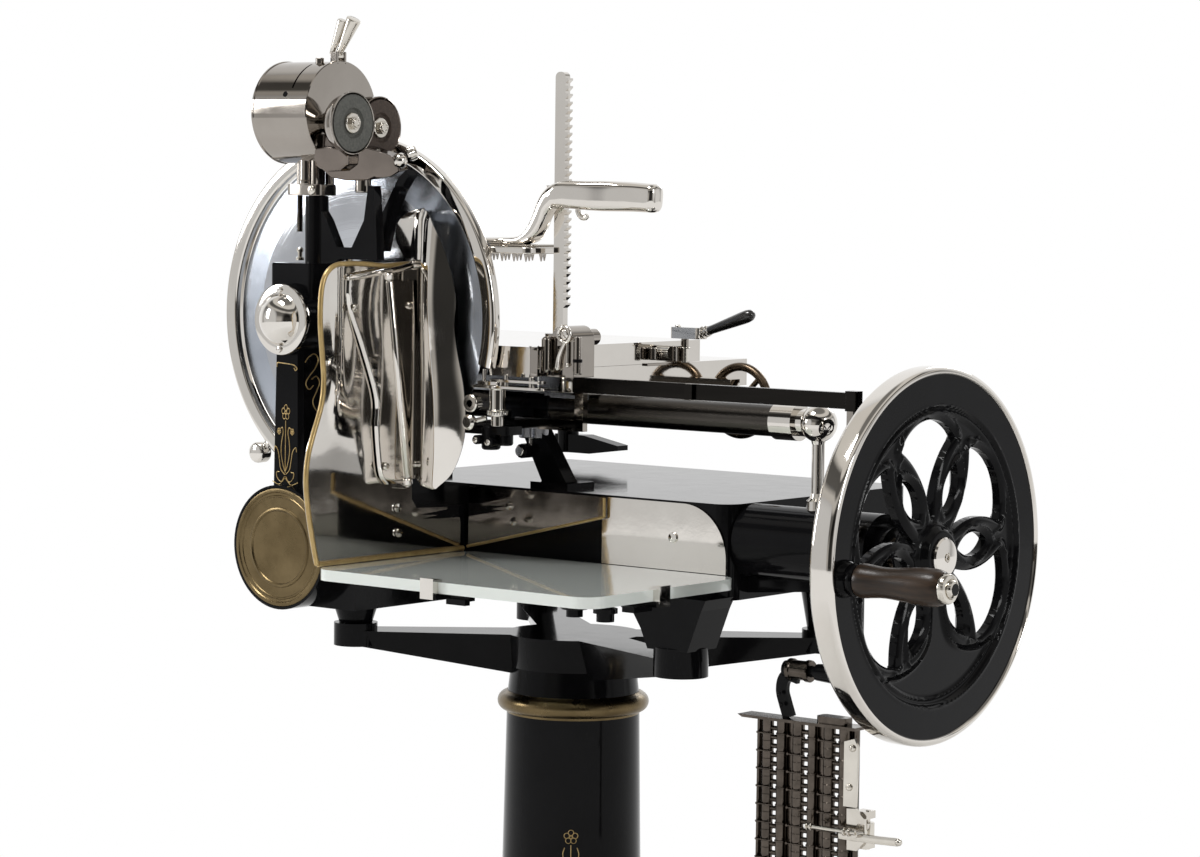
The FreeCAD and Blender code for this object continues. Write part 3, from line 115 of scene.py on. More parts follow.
def add_bump(tree, shader, height, strength, distance):
    bumped = node(tree, "ShaderNodeBump", {"Strength": strength, "Distance": distance,
                                           "Height": height})
    tree.links.new(bumped.outputs[0], shader.inputs["Normal"])


def surface(name, first, second, metallic, rough, vary, scale=18.0, bump=0.0, bump_scale=90.0,
            coat=0.0, coat_rough=0.03, stretch=(1, 1, 1), dist=0.0004, shine=0.5):
    """Procedural finish: colour and roughness drift with noise, fine bump from a second one."""
    mat, tree, shader, coord = new_material(name)
    drift = noise_on(tree, coord, scale, 4.0, 0.6, stretch)
    fine = noise_on(tree, coord, scale * 2.7, 5.0, 0.6, stretch)
    feed(tree, shader, {
        "Base Color": blend_colour(tree, span(tree, drift, 0, 1), first, second),
        "Roughness": span(tree, fine, max(0.0, rough - vary), rough + vary),
        "Metallic": metallic, "Specular IOR Level": shine,
        "Coat Weight": coat, "Coat Roughness": coat_rough})
    if bump:
        add_bump(tree, shader, noise_on(tree, coord, bump_scale, 4.0, 0.6, stretch), bump, dist)
    return mat


def turned_surface(name, first, second, rough, lines=900.0, bump=0.12):
    """Metal with fine lathe lines about the blade's axis."""
    mat = surface(name, first, second, 1.0, rough, 0.03, 14.0)
    tree = mat.node_tree
    coord = node(tree, "ShaderNodeTexCoord").outputs["Object"]
    away = vector_math(tree, "SUBTRACT", "Vector", {0: coord, 1: (BLADE_CENTRE + SHIFT) * MM})
    flat = vector_math(tree, "MULTIPLY", "Vector", {0: away, 1: (1, 0, 1)})
    radius = vector_math(tree, "LENGTH", "Value", {0: flat})
    rings = node(tree, "ShaderNodeTexNoise", {"Scale": lines, "Detail": 3.0},
                 noise_dimensions="1D")
    tree.links.new(radius, rings.inputs["W"])
    add_bump(tree, tree.nodes["Principled BSDF"], rings.outputs["Fac"], bump, 0.0003)
    return mat


def wood_surface(name):
    """Wood finish whose colour follows a grain that is stretched along X."""
    mat = surface(name, (0.085, 0.042, 0.018), (0.03, 0.015, 0.008), 0.0, 0.36, 0.08, 40.0,
                  0.35, 260.0, 0.12, 0.16, (0.12, 1, 1), shine=0.25)
    tree = mat.node_tree
    coord = node(tree, "ShaderNodeTexCoord").outputs["Object"]
    grain = noise_on(tree, coord, 170.0, 6.0, 0.7, (0.05, 1, 1))
    feed(tree, tree.nodes["Principled BSDF"], {
        "Base Color": blend_colour(tree, span(tree, grain, 0, 1, 0.35, 0.65),
                                   (0.046, 0.026, 0.014), (0.014, 0.009, 0.006))})
    return mat


BRUSHED = (0.08, 1, 1)
NICKEL = surface("polished_nickel", (0.74, 0.71, 0.665), (0.68, 0.645, 0.60), 1.0, 0.055,
                 0.025, 9.0, 0.05, 55.0, dist=0.0006)
NICKEL_SOFT = surface("worn_nickel", (0.70, 0.665, 0.60), (0.60, 0.565, 0.51), 1.0, 0.13, 0.05,
                      22.0, 0.10, 140.0)
# Painted shade: darker copy of the polished nickel, for the sharpener and the parts under or behind
# others.
NICKEL_SHADE_PAINTED = surface("shade_painted_nickel", (0.40, 0.37, 0.335), (0.33, 0.30, 0.27), 1.0, 0.07, 0.03,
                      9.0, 0.01)
# Painted shade: a still darker, brownish copy of the nickel, for the hood and the carrier inside
# the sharpener.
HOOD_SHADE_PAINTED = surface("hood_shade_painted_metal", (0.24, 0.205, 0.18), (0.15, 0.13, 0.115), 1.0, 0.09, 0.04,
                     12.0, 0.02)
BLACK = surface("black_enamel", (0.0035, 0.0035, 0.004), (0.006, 0.006, 0.0068), 0.0, 0.09,
                0.03, 12.0, 0.07, 60.0, dist=0.0006, shine=0.10)
DARK_STEEL = surface("dark_steel", (0.085, 0.077, 0.068), (0.042, 0.038, 0.034), 1.0, 0.24, 0.07,
                     30.0, 0.18, 240.0, stretch=BRUSHED)
BLACKENED = surface("blackened_steel", (0.022, 0.020, 0.018), (0.014, 0.013, 0.012), 1.0, 0.2,
                    0.06, 30.0, 0.1, 240.0, stretch=BRUSHED)
CHAIN = surface("chain_nickel", (0.125, 0.105, 0.088), (0.065, 0.055, 0.046), 1.0, 0.17, 0.06,
                60.0, 0.12, 320.0)
BLADE = turned_surface("blade_steel", (0.54, 0.555, 0.58), (0.49, 0.505, 0.535), 0.10)
BEVEL = turned_surface("ground_bevel", (0.44, 0.47, 0.52), (0.37, 0.40, 0.45), 0.20, 1500.0, 0.2)
BRASS = surface("brass", (0.185, 0.137, 0.070), (0.115, 0.083, 0.040), 1.0, 0.30, 0.08, 24.0,
                0.12, 160.0)
GOLD = surface("gold_leaf", (0.56, 0.40, 0.17), (0.42, 0.29, 0.11), 0.7, 0.35, 0.08, 70.0, 0.15,
               300.0, 0.4, 0.05)
BRONZE = surface("bronze", (0.17, 0.125, 0.085), (0.10, 0.075, 0.052), 1.0, 0.28, 0.08, 28.0,
                 0.14, 180.0)
GLASS = surface("milk_glass", (0.80, 0.86, 0.82), (0.84, 0.885, 0.85), 0.0, 0.06, 0.02, 8.0,
                0.03, 40.0, 1.0, 0.02)
WOOD = wood_surface("dark_wood")
GRIP = surface("black_grip", (0.012, 0.011, 0.011), (0.022, 0.021, 0.02), 0.0, 0.22, 0.06, 45.0,
               0.12, 220.0, 0.6, 0.08)
GREEN_STONE = surface("grey_green_stone", (0.15, 0.152, 0.138), (0.088, 0.09, 0.083), 0.0, 0.8,
                      0.08, 380.0, 0.6, 900.0, dist=0.0008)
BROWN_STONE = surface("brown_stone", (0.085, 0.06, 0.045), (0.045, 0.032, 0.026), 0.0, 0.75,
                      0.08, 380.0, 0.6, 900.0, dist=0.0008)
GEAR = surface("machined_steel", (0.34, 0.34, 0.35), (0.25, 0.25, 0.26), 1.0, 0.3, 0.08, 40.0,
               0.15, 260.0)

SLOT_MATERIAL = {"black_enamel": BLACK, "nickel": NICKEL, "blade_steel": BLADE,
                 "dark_steel": DARK_STEEL, "brass": BRASS, "bronze": BRONZE,
                 "milk_glass": GLASS, "dark_wood": WOOD, "black_grip": GRIP,
                 "green_stone": GREEN_STONE, "brown_stone": BROWN_STONE, "gear_steel": GEAR}
SLOT_OF = {part["node"]: part["material_slot"] for part in frame["record"]["subparts"]}
MATERIAL_SLOT = {mat: slot for slot, mat in SLOT_MATERIAL.items()}
MATERIAL_SLOT.update({NICKEL_SOFT: "nickel", NICKEL_SHADE_PAINTED: "nickel", HOOD_SHADE_PAINTED: "nickel",
                      BEVEL: "blade_steel", GOLD: "brass", CHAIN: "dark_steel",
                      BLACKENED: "dark_steel"})
REPLACED = set()


# ---- curves -------------------------------------------------------------------------
def bell(value, middle, width):
    """Bell curve with its top at the middle."""
    return np.exp(-((value - middle) / width) ** 2)


def rise(value, middle, width):
    """Smooth step from 0 to 1 about the middle."""
    return 1 / (1 + np.exp(-(value - middle) / width))


# ---- mesh helpers -------------------------------------------------------------------
def new_object(name, verts, faces):
    """Object in the scene from a mesh in millimetres."""
    mesh = bpy.data.meshes.new(name)
    mesh.from_pydata([(p + SHIFT) * MM for p in verts], [], faces)
    obj = bpy.data.objects.new(name, mesh)
    bpy.context.scene.collection.objects.link(obj)
    return obj


def weld(mesh, merge, angle):
    """Welds doubles, turns the faces outwards and marks the edges that are sharper than angle."""
    work = bmesh.new()
    work.from_mesh(mesh)
    bmesh.ops.remove_doubles(work, verts=work.verts, dist=merge * MM)
    bmesh.ops.recalc_face_normals(work, faces=work.faces)
    for face in work.faces:
        face.smooth = True
    for edge in work.edges:
        open_edge = len(edge.link_faces) != 2
        edge.smooth = not (open_edge or edge.calc_face_angle(0.0) > radians(angle))
    work.to_mesh(mesh)
    work.free()


def soften(obj, width, angle, segments=2):
    """Rounds the hard edges, with the shading kept flat on the faces."""
    mod = obj.modifiers.new("edge", "BEVEL")
    mod.width = width * MM
    mod.segments = segments
    mod.limit_method = "ANGLE"
    mod.angle_limit = radians(angle)
    mod.harden_normals = True


def thicken(obj, width, offset=0.0):
    sheet = obj.modifiers.new("sheet", "SOLIDIFY")
    sheet.thickness = width * MM
    sheet.offset = offset


class Piece:
    """Collects shells in millimetres and turns them into one object."""

    def __init__(self):
        self.verts = []
        self.faces = []

    def add(self, verts, faces):
        base = len(self.verts)
        self.verts += [Vector(p) for p in verts]
        self.faces += [tuple(base + i for i in face) for face in faces]
        return self

    def rods(self, *rows):
        """Adds round bars; a row is what rod takes, with the two ends as plain points."""
        for start, end, *sizes in rows:
            self.add(*rod(Vector(start), Vector(end), *sizes))
        return self

    def screws(self, normal, *rows):
        """Adds slotted heads; a row has the place, the radius, the height and the slot's turn."""
        for place, radius, height, turn in rows:
            self.add(*slotted_head(Vector(place), normal, radius, height, turn))
        return self

    def make(self, name, material, body, replaces=None, angle=38.0, bevel=0.0, segments=2,
             merge=0.02):
        obj = new_object(name, self.verts, self.faces)
        weld(obj.data, merge, angle)
        obj.data.materials.append(material)
        if bevel:
            soften(obj, bevel, angle, segments)
        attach(obj, body)
        if replaces:
            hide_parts(replaces)
            REPLACED.add(replaces)
        return obj


def basis(axis):
    """Two directions square to the axis, and the axis."""
    axis = axis.normalized()
    side = axis.cross(Z if abs(axis.z) < 0.9 else X).normalized()
    return side, axis.cross(side).normalized(), axis


def lathe(profile, base, axis, segs=96, turn=360.0, start=None, closed=False):
    """Surface of revolution; the profile lists (radius, distance along the axis)."""
    side, up, axis = basis(axis)
    if start is not None:
        side = start.normalized()
        up = axis.cross(side)
    full = abs(turn - 360.0) < 1e-6
    count = segs if full else segs + 1
    verts = []
    for i in range(count):
        a = radians(turn) * i / segs
        ray = side * cos(a) + up * sin(a)
        verts += [base + ray * r + axis * t for r, t in profile]
    n = len(profile)
    rows = n if closed else n - 1
    faces = []
    for i in range(segs):
        a = i * n
        b = ((i + 1) % count) * n
        for k in range(rows):
            m = (k + 1) % n
            faces.append((a + k, a + m, b + m, b + k))
    if not full and closed:
        faces.append(tuple(range(n)))
        faces.append(tuple(reversed(range((count - 1) * n, count * n))))
    return verts, faces


def turned(name, material, body, replaces, profile, base, axis, segs, angle=30.0, closed=False):
    """Piece that is one turned form."""
    shell = lathe(profile, base, axis, segs, closed=closed)
    return Piece().add(*shell).make(name, material, body, replaces, angle)


def arc(cx, cy, r, a0, a1, n):
    """Points on a circle from angle a0 to a1, in degrees."""
    return [(cx + r * cos(radians(a0 + (a1 - a0) * i / n)),
             cy + r * sin(radians(a0 + (a1 - a0) * i / n))) for i in range(n + 1)]


def loft(sections, closed=False):
    """Skin through loops with equal numbers of points."""
    n = len(sections[0])
    verts = [p for loop in sections for p in loop]
    faces = []
    count = len(sections) if closed else len(sections) - 1
    for i in range(count):
        a = i * n
        b = ((i + 1) % len(sections)) * n
        for k in range(n):
            m = (k + 1) % n
            faces.append((a + k, a + m, b + m, b + k))
    if not closed:
        faces.append(tuple(reversed(range(n))))
        faces.append(tuple(range(count * n, (count + 1) * n)))
    return verts, faces


def prism(points, push):
    return loft([[Vector(p) for p in points], [Vector(p) + push for p in points]])


def block(x0, x1, y0, y1, z0, z1):
    return prism([(x0, y0, z0), (x1, y0, z0), (x1, y1, z0), (x0, y1, z0)], Z * (z1 - z0))


def rounded_block(x0, x1, y0, y1, z0, z1, r):
    """Block whose upright edges are rounded."""
    corners = ((x1 - r, y1 - r), (x0 + r, y1 - r), (x0 + r, y0 + r), (x1 - r, y0 + r))
    outline = []
    for quarter, (x, y) in enumerate(corners):
        outline += arc(x, y, r, 90 * quarter, 90 * quarter + 90, 5)
    return prism([(a, b, z0) for a, b in outline], Z * (z1 - z0))


def smooth_path(points, steps):
    """Catmull-Rom points through the given ones."""
    pts = [Vector(p) for p in points]
    out = []
    for i, (p1, p2) in enumerate(zip(pts, pts[1:])):
        p0 = pts[i - 1] if i else p1 * 2 - p2
        p3 = pts[i + 2] if i + 2 < len(pts) else p2 * 2 - p1
        for k in range(steps):
            t = k / steps
            out.append(0.5 * (2 * p1 + (p2 - p0) * t + (2 * p0 - 5 * p1 + 4 * p2 - p3) * t * t
                              + (3 * p1 - p0 - 3 * p2 + p3) * t ** 3))
    return out + [pts[-1]]


def smooth_flat(points, steps):
    """Smooth line through pairs."""
    return [(p.x, p.y) for p in smooth_path([(a, b, 0) for a, b in points], steps)]


def headings(path, closed=False):
    """Direction of a path at each of its points."""
    n = len(path)
    runs = []
    for i in range(n):
        ahead = path[(i + 1) % n] if closed or i + 1 < n else path[i]
        behind = path[i - 1] if closed or i else path[i]
        runs.append((ahead - behind).normalized())
    return runs


def sweep(path, section, up):
    """Section (side, up) carried along a path; up stays the same direction."""
    loops = []
    for point, run in zip(path, headings(path)):
        side = run.cross(up).normalized()
        top = side.cross(run).normalized()
        loops.append([point + side * a + top * b for a, b in section])
    return loft(loops)


def tube(path, radius, segs=14, closed=False):
    """Round bar along a path, with the frame carried along it."""
    path = [Vector(p) for p in path]
    radii = radius if isinstance(radius, list) else [radius] * len(path)
    loops = []
    runs = headings(path, closed)
    side = basis(runs[0])[0]
    for point, run, size in zip(path, runs, radii):
        side = (side - run * side.dot(run)).normalized()
        up = run.cross(side)
        loops.append([point + (side * cos(a) + up * sin(a)) * size
                      for a in (2 * pi * k / segs for k in range(segs))])
    return loft(loops, closed)


def rod(start, end, radius, segs=32, chamfer=0.0):
    run = end - start
    length = run.length
    c = chamfer
    profile = [(0, 0), (radius - c, 0), (radius, c), (radius, length - c),
               (radius - c, length), (0, length)]
    return lathe(profile, start, run, segs)


def ball(centre, radius, segs=32, rows=16):
    profile = [(radius * sin(pi * i / rows), -radius * cos(pi * i / rows))
               for i in range(rows + 1)]
    return lathe(profile, centre, Z, segs)


def slotted_head(place, normal, radius, height, slot_turn):
    """Domed screw head with a sunk slot across it, drawn as one skin of rings."""
    side, up, axis = basis(normal)
    segs = 48
    profile = [(radius, 0), (radius, height * 0.3), (radius * 0.95, height * 0.62),
               (radius * 0.84, height * 0.84), (radius * 0.66, height * 0.95)]
    profile += [(radius * k, height) for k in (0.5, 0.38, 0.27, 0.18, 0.1)] + [(0, height)]
    half = radius * 0.14
    verts = []
    for r, t in profile:
        for k in range(segs):
            a = 2 * pi * k / segs
            across = r * sin(a - radians(slot_turn))
            inside = abs(across) < half and r < radius * 0.9
            sunk = 0.42 * height * max(0.0, min(1.0, (half - abs(across)) / (half * 0.35)))
            deep = t - (sunk if inside else 0.0)
            verts.append(place + (side * cos(a) + up * sin(a)) * r + axis * deep)
    faces = [(i * segs + k, i * segs + (k + 1) % segs, (i + 1) * segs + (k + 1) % segs,
              (i + 1) * segs + k) for i in range(len(profile) - 1) for k in range(segs)]
    return verts, faces


def knurled(start, end, radius, teeth=18):
    """Round knob with shallow ridges along its side."""
    side, up, _ = basis(end - start)
    ring = []
    for k in range(teeth * 2):
        a = pi * k / teeth
        r = radius if k % 2 else radius * 0.93
        ring.append(start + (side * cos(a) + up * sin(a)) * r)
    return prism(ring, end - start)


# ---- camera, light, floor -----------------------------------------------------------
CAMERA_AT = v(2658.20, -2887.93, 157.56)
CAMERA_RIGHT = v(0.78060, 0.62492, 0.01201)
CAMERA_UP = v(-0.05404, 0.04833, 0.99737)
CAMERA_AHEAD = v(-0.62269, 0.77919, -0.07150)


def set_camera():
    data = bpy.data.cameras.new("camera")
    data.sensor_fit = "HORIZONTAL"
    data.sensor_width = 36.0
    data.lens = 104.06
    data.clip_end = 60.0
    camera = bpy.data.objects.new("camera", data)
    bpy.context.scene.collection.objects.link(camera)
    matrix = Matrix((CAMERA_RIGHT, CAMERA_UP, -CAMERA_AHEAD)).transposed().to_4x4()
    matrix.translation = (CAMERA_AT + SHIFT) * MM
    camera.matrix_world = matrix
    bpy.context.scene.camera = camera


def area_light(name, place, size, power):
    """White panel that points at the middle of the machine."""
    data = bpy.data.lights.new(name, "AREA")
    data.shape = "RECTANGLE"
    data.size, data.size_y = size
    data.energy = power
    lamp = bpy.data.objects.new(name, data)
    bpy.context.scene.collection.objects.link(lamp)
    lamp.location = place
    lamp.rotation_euler = (Z - Vector(place)).to_track_quat("-Z", "Y").to_euler()


def direction_band(tree, direction, axis, low, high, start, end):
    """Smooth step from start to end as the direction turns from low to high along axis."""
    dot = vector_math(tree, "DOT_PRODUCT", "Value", {0: direction, 1: Vector(axis).normalized()})
    return span(tree, dot, start, end, low, high, interpolation_type="SMOOTHSTEP")


def math_node(tree, operation, first, second):
    return node(tree, "ShaderNodeMath", {0: first, 1: second}, operation=operation).outputs[0]


# Stops of the room's grey from straight down (0) to straight up (1).
ROOM = [(0.00, 0.16), (0.30, 0.20), (0.42, 0.34), (0.50, 0.52), (0.56, 0.42), (0.62, 0.16),
        (0.70, 0.13), (0.725, 0.55), (0.76, 0.60), (0.785, 0.12), (0.84, 0.10), (0.86, 0.72),
        (0.93, 0.75), (0.96, 0.22), (1.00, 0.20)]
ROOM_TINT = (1, 0.965, 0.91)
# Soft panels in the reflections: direction, cosines where they start and are full, strength.
PANELS = [((-0.62, 0.78, -0.02), 0.25, 0.62, 1.0), ((-0.66, -0.75, 0.0), 0.78, 0.92, 0.68),
          ((0.74, 0.67, 0.05), 0.88, 0.97, 0.80), ((0.97, 0.05, 0.22), 0.88, 0.96, 0.78)]
DARK_SIDE = ((0.66, -0.75, -0.05), 0.80, 0.95, 1.0, 0.07)


def set_world():
    """White backdrop behind the machine and a dim room with soft panels elsewhere."""
    world = bpy.data.worlds.new("studio")
    bpy.context.scene.world = world
    world.use_nodes = True
    tree = world.node_tree
    direction = node(tree, "ShaderNodeTexCoord").outputs["Generated"]
    camera_ray = node(tree, "ShaderNodeLightPath").outputs["Is Camera Ray"]
    split = node(tree, "ShaderNodeSeparateXYZ", {0: direction})
    height = span(tree, split.outputs["Z"], 0.0, 1.0, -1.0, 1.0)
    ramp = node(tree, "ShaderNodeValToRGB", {0: height})
    stops = ramp.color_ramp.elements
    stops.remove(stops[1])
    for place, level in ROOM:
        stop = stops.new(place) if place else stops[0]
        stop.color = (*(level * tint for tint in ROOM_TINT), 1)
    level = 0.0
    for axis, low, high, strength in PANELS:
        band = direction_band(tree, direction, axis, low, high, 0.0, strength)
        level = math_node(tree, "MAXIMUM", level, band)
    level = math_node(tree, "MAXIMUM", level, camera_ray)
    grey = node(tree, "ShaderNodeCombineColor", {0: level, 1: level, 2: level})
    mix = node(tree, "ShaderNodeMix", {0: 1.0, 6: ramp.outputs[0], 7: grey.outputs[0]},
               data_type="RGBA", blend_type="LIGHTEN")
    dark = direction_band(tree, direction, *DARK_SIDE)
    feed(tree, tree.nodes["Background"], {
        "Color": mix.outputs[2], "Strength": math_node(tree, "MAXIMUM", dark, camera_ray)})


def set_floor():
    """Pale floor that fades into the white backdrop far from the machine."""
    verts, faces = lathe([(0, 0), (500, 0), (1500, 0), (3000, 0), (9000, 0)],
                         PEDESTAL + Z * FLOOR_Z, Z, 64)
    floor = new_object("studio_floor", verts, faces)
    mat, tree, shader, coord = new_material("pale_floor")
    drift = noise_on(tree, coord, 3.0, 3.0)
    feed(tree, shader, {"Roughness": 0.7, "Base Color": blend_colour(
        tree, drift, (0.78, 0.78, 0.775), (0.82, 0.82, 0.815))})
    glow = node(tree, "ShaderNodeEmission", {"Color": (1, 1, 1, 1)})
    away = vector_math(tree, "LENGTH", "Value", {0: coord})
    far = span(tree, away, 0.0, 1.0, 0.9, 2.4)
    ray = node(tree, "ShaderNodeLightPath").outputs
    seen = math_node(tree, "MAXIMUM", ray["Is Camera Ray"], ray["Is Glossy Ray"])
    seen = math_node(tree, "MAXIMUM", seen, ray["Is Transmission Ray"])
    mix = node(tree, "ShaderNodeMixShader", {0: math_node(tree, "MULTIPLY", far, seen),
                                             1: shader.outputs[0], 2: glow.outputs[0]})
    tree.links.new(mix.outputs[0], tree.nodes["Material Output"].inputs["Surface"])
    floor.data.materials.append(mat)


set_camera()
set_world()
set_floor()
area_light("top_panel", (-0.4, -1.2, 3.4), (1.0, 0.7), 40.0)
area_light("left_panel", (-2.8, -2.4, 1.9), (0.7, 1.3), 34.0)
area_light("right_panel", (3.4, -0.6, 2.3), (0.4, 1.2), 20.0)
area_light("back_panel", (-0.6, 3.4, 2.6), (1.6, 0.8), 22.0)
bpy.context.scene.view_settings.view_transform = "Standard"


# ---- flywheel -----------------------------------------------------------------------
WHEEL = v(0, 130, -228.6)
RIM_R = 198.0
BAND_R = 190.0
PETAL_TURN = 6.0
PETAL_STEP = 60.0
CLOSED_SECTOR = 4
WEB_MID_X = 686.5
BAR_HALF = 4.4
BAND_HALF = 10.3
KEEL = 6.5
FAR = 1e9


def wheel_at(u, w, x):
    """Point beside the wheel's axis: u along Y, w along Z."""
    return v(x, WHEEL.y + u, WHEEL.z + w)


def three_point_arc(a, m, b, count):
    """Points on the circle through a, m and b, from a up to but without b."""
    ax, ay, mx, my, bx, by = *a, *m, *b
    d = 2 * (ax * (my - by) + mx * (by - ay) + bx * (ay - my))
    sa, sm, sb = ax * ax + ay * ay, mx * mx + my * my, bx * bx + by * by
    cx = (sa * (my - by) + sm * (by - ay) + sb * (ay - my)) / d
    cy = (sa * (bx - mx) + sm * (ax - bx) + sb * (mx - ax)) / d
    a0, am, a1 = (atan2(y - cy, x - cx) for x, y in (a, m, b))
    opening = (a1 - a0) % (2 * pi)
    if (am - a0) % (2 * pi) > opening:
        opening -= 2 * pi
    r = hypot(ax - cx, ay - cy)
    return [(cx + r * cos(a0 + opening * i / count), cy + r * sin(a0 + opening * i / count))
            for i in range(count)]


def closed_arcs(corners, count):
    """Closed outline of arcs; a corner lists its point and the next arc's middle point."""
    points = []
    for i, (start, middle) in enumerate(corners):
        points += three_point_arc(start, middle, corners[(i + 1) % len(corners)][0], count)
    return np.array(points)


def spun(points, degrees):
    a = radians(degrees)
    return points @ np.array([[cos(a), sin(a)], [-sin(a), cos(a)]])


def line_distance(points, line):
    """Distance from each point to an open line."""
    best = np.full(len(points), FAR)
    for (ax, ay), (bx, by) in zip(line[:-1], line[1:]):
        dx, dy = bx - ax, by - ay
        px, py = points[:, 0] - ax, points[:, 1] - ay
        t = np.clip((px * dx + py * dy) / (dx * dx + dy * dy), 0, 1)
        best = np.minimum(best, np.hypot(px - t * dx, py - t * dy))
    return best


def outline_distance(points, outline):
    """Distance from each point to a closed outline, negative inside it."""
    loop = np.vstack([outline, outline[:1]])
    inside = np.zeros(len(points), dtype=bool)
    for (ax, ay), (bx, by) in zip(loop[:-1], loop[1:]):
        px, py = points[:, 0] - ax, points[:, 1] - ay
        dx, dy = bx - ax, by - ay
        if dy:
            inside ^= ((py > 0) != (py - dy > 0)) & (px < py * dx / dy)
    best = line_distance(points, loop)
    return np.where(inside, -best, best)


ARCH = (((43, -2), (76, -12.5)), ((118, -51), (143.5, 0)), ((118, 51), (76, 12.5)),
        ((43, 2), (41.5, 0)))
EYE = (((47, 0), (74, -12.5)), ((103, 0), (74, 12.5)))
FAN = [(30, 4), (52, 10), (68, 12.6), (80, 15), (92, 21.5), (103, 36), (110, 58), (112, 80),
       (109, 100), (112, 122), (150, 110), (174, 60), (180, 0)]
RIDGE = [(30, -6), (40, -10.5), (52, -15.5), (62, -18.8), (72, -20), (84, -18.3), (95, -13.8),
         (105, -7.4), (114, 0), (122, 7), (130, 14), (139, 21.5), (148, 28)]


def web_openings():
    """Arched openings between the petals, but for the fan's sector, and the petals' eyes."""
    arch = closed_arcs(ARCH, 26)
    eye = closed_arcs(EYE, 22)
    arches = [spun(arch, PETAL_TURN + PETAL_STEP * (i + 0.5)) for i in range(6)
              if i != CLOSED_SECTOR]
    return arches + [spun(eye, PETAL_TURN + PETAL_STEP * i) for i in range(6)]


def fan_outline():
    upper = smooth_flat(FAN, 4)
    return spun(np.array(upper + [(u, -w) for u, w in reversed(upper[:-1])]), PETAL_TURN + 271)


def ridge_distance(points):
    """Distance to the raised lines that run along the petals and cross at their tips."""
    best = np.full(len(points), FAR)
    for side in (1, -1):
        line = np.array([(u, side * w) for u, w in smooth_flat(RIDGE, 4)])
        for i in range(6):
            turn = PETAL_TURN + PETAL_STEP * i
            best = np.minimum(best, line_distance(points, spun(line, turn)))
    return best


def web_height(s, radius, points):
    """Half thickness of the casting: keeled bars, sunk corners, fan panel, raised band."""
    fan = outline_distance(points, fan_outline())
    edge = np.minimum(s, np.where(fan > 0, fan, 99.0))
    bar = BAR_HALF + 3.6 * np.sin(np.pi / 2 * np.clip(edge / KEEL, 0, 1))
    sunk = BAR_HALF + 3.6 * bell(np.clip(edge, KEEL, None), KEEL, 4.0)
    height = np.where(edge < KEEL, bar, sunk)
    height += 1.7 * bell(ridge_distance(points), 0, 1.5) * np.clip(edge / 4.0, 0, 1)
    height = np.maximum(height, 4.6 + 4.4 * bell(radius, 150.0, 3.4))
    panel = BAR_HALF + 4.2 * bell(fan, 0, 2.4) + 2.4 * bell(radius, 148.5, 1.8)
    height = np.where(fan <= 0, panel, height)
    step = rise(radius, 155.5, 0.7)
    height = height * (1 - step) + BAND_HALF * step
    height += 0.9 * bell(radius, 158.0, 1.2)
    return np.maximum(height, 11.0 * np.clip((46.0 - radius) / 14.0, 0, 1))


def web_grid():
    """Grid lines over the wheel, with the distance to the nearest border and the height."""
    cell = 1.6
    half = int(BAND_R / cell) + 2
    line = np.arange(-half, half + 1) * cell
    grid_u, grid_w = np.meshgrid(line, line, indexing="ij")
    points = np.stack([grid_u.ravel(), grid_w.ravel()], axis=1)
    radius = np.hypot(points[:, 0], points[:, 1])
    field = BAND_R - radius
    for outline in web_openings():
        field = np.minimum(field, outline_distance(points, outline))
    height = web_height(np.clip(field, 0, 99), radius, points)
    return line, field.reshape(grid_u.shape), height.reshape(grid_u.shape)


def flywheel_web_piece():
    """Casting skinned over a fine grid that is clipped at the openings."""
    line, field, height = web_grid()
    verts, faces, known = [], [], {}

    def corner(key, place, h):
        if key not in known:
            known[key] = (len(verts), len(verts) + 1)
            verts.extend(wheel_at(*place, WEB_MID_X + side * h) for side in (1, -1))
        return known[key]

    for i in range(len(line) - 1):
        for k in range(len(line) - 1):
            ring = [(i, k), (i + 1, k), (i + 1, k + 1), (i, k + 1)]
            loop, leaves = [], []
            for a, b in zip(ring, ring[1:] + ring[:1]):
                at_a = (line[a[0]], line[a[1]])
                if field[a] > 0:
                    loop.append(corner(a, at_a, height[a]))
                if (field[a] > 0) != (field[b] > 0):
                    t = field[a] / (field[a] - field[b])
                    place = (at_a[0] + (line[b[0]] - at_a[0]) * t,
                             at_a[1] + (line[b[1]] - at_a[1]) * t)
                    edge_half = BAND_HALF if hypot(*place) > BAND_R - 3 else BAR_HALF
                    loop.append(corner((min(a, b), max(a, b)), place, edge_half))
                    leaves.append((loop[-1], field[a] > 0))
            if len(loop) > 2:
                faces.append(tuple(c[0] for c in loop))
                faces.append(tuple(c[1] for c in reversed(loop)))
            if len(leaves) == 2:
                (first, out), (second, _) = leaves
                first, second = (first, second) if out else (second, first)
                faces.append((second[0], first[0], first[1], second[1]))
    piece = Piece().add(verts, faces)
    piece.add(*lathe([(0, 655), (22, 655), (25, 656.5), (33, 663), (35, 668), (35.5, 690),
                      (34, 695), (31.5, 699), (29, 701), (28.2, 702.6), (27, 703.6), (25, 704),
                      (0, 704)], WHEEL, X, 96))
    piece.make("flywheel_casting", BLACK, "flywheel", "flywheel_web", angle=44, merge=0.01)


def flywheel_rim_piece():
    profile = ([(BAND_R, 672), (BAND_R + 1.2, 671), (RIM_R - 5, 671)]
               + arc(RIM_R - 7, 678, 7, -80, 0, 6) + arc(RIM_R - 7, 693, 7, 0, 80, 6)
               + [(BAND_R + 1.6, 700), (BAND_R, 698.6)])
    turned("flywheel_nickel_rim", NICKEL, "flywheel", "flywheel_rim", profile, WHEEL, X, 220, 50,
           closed=True)


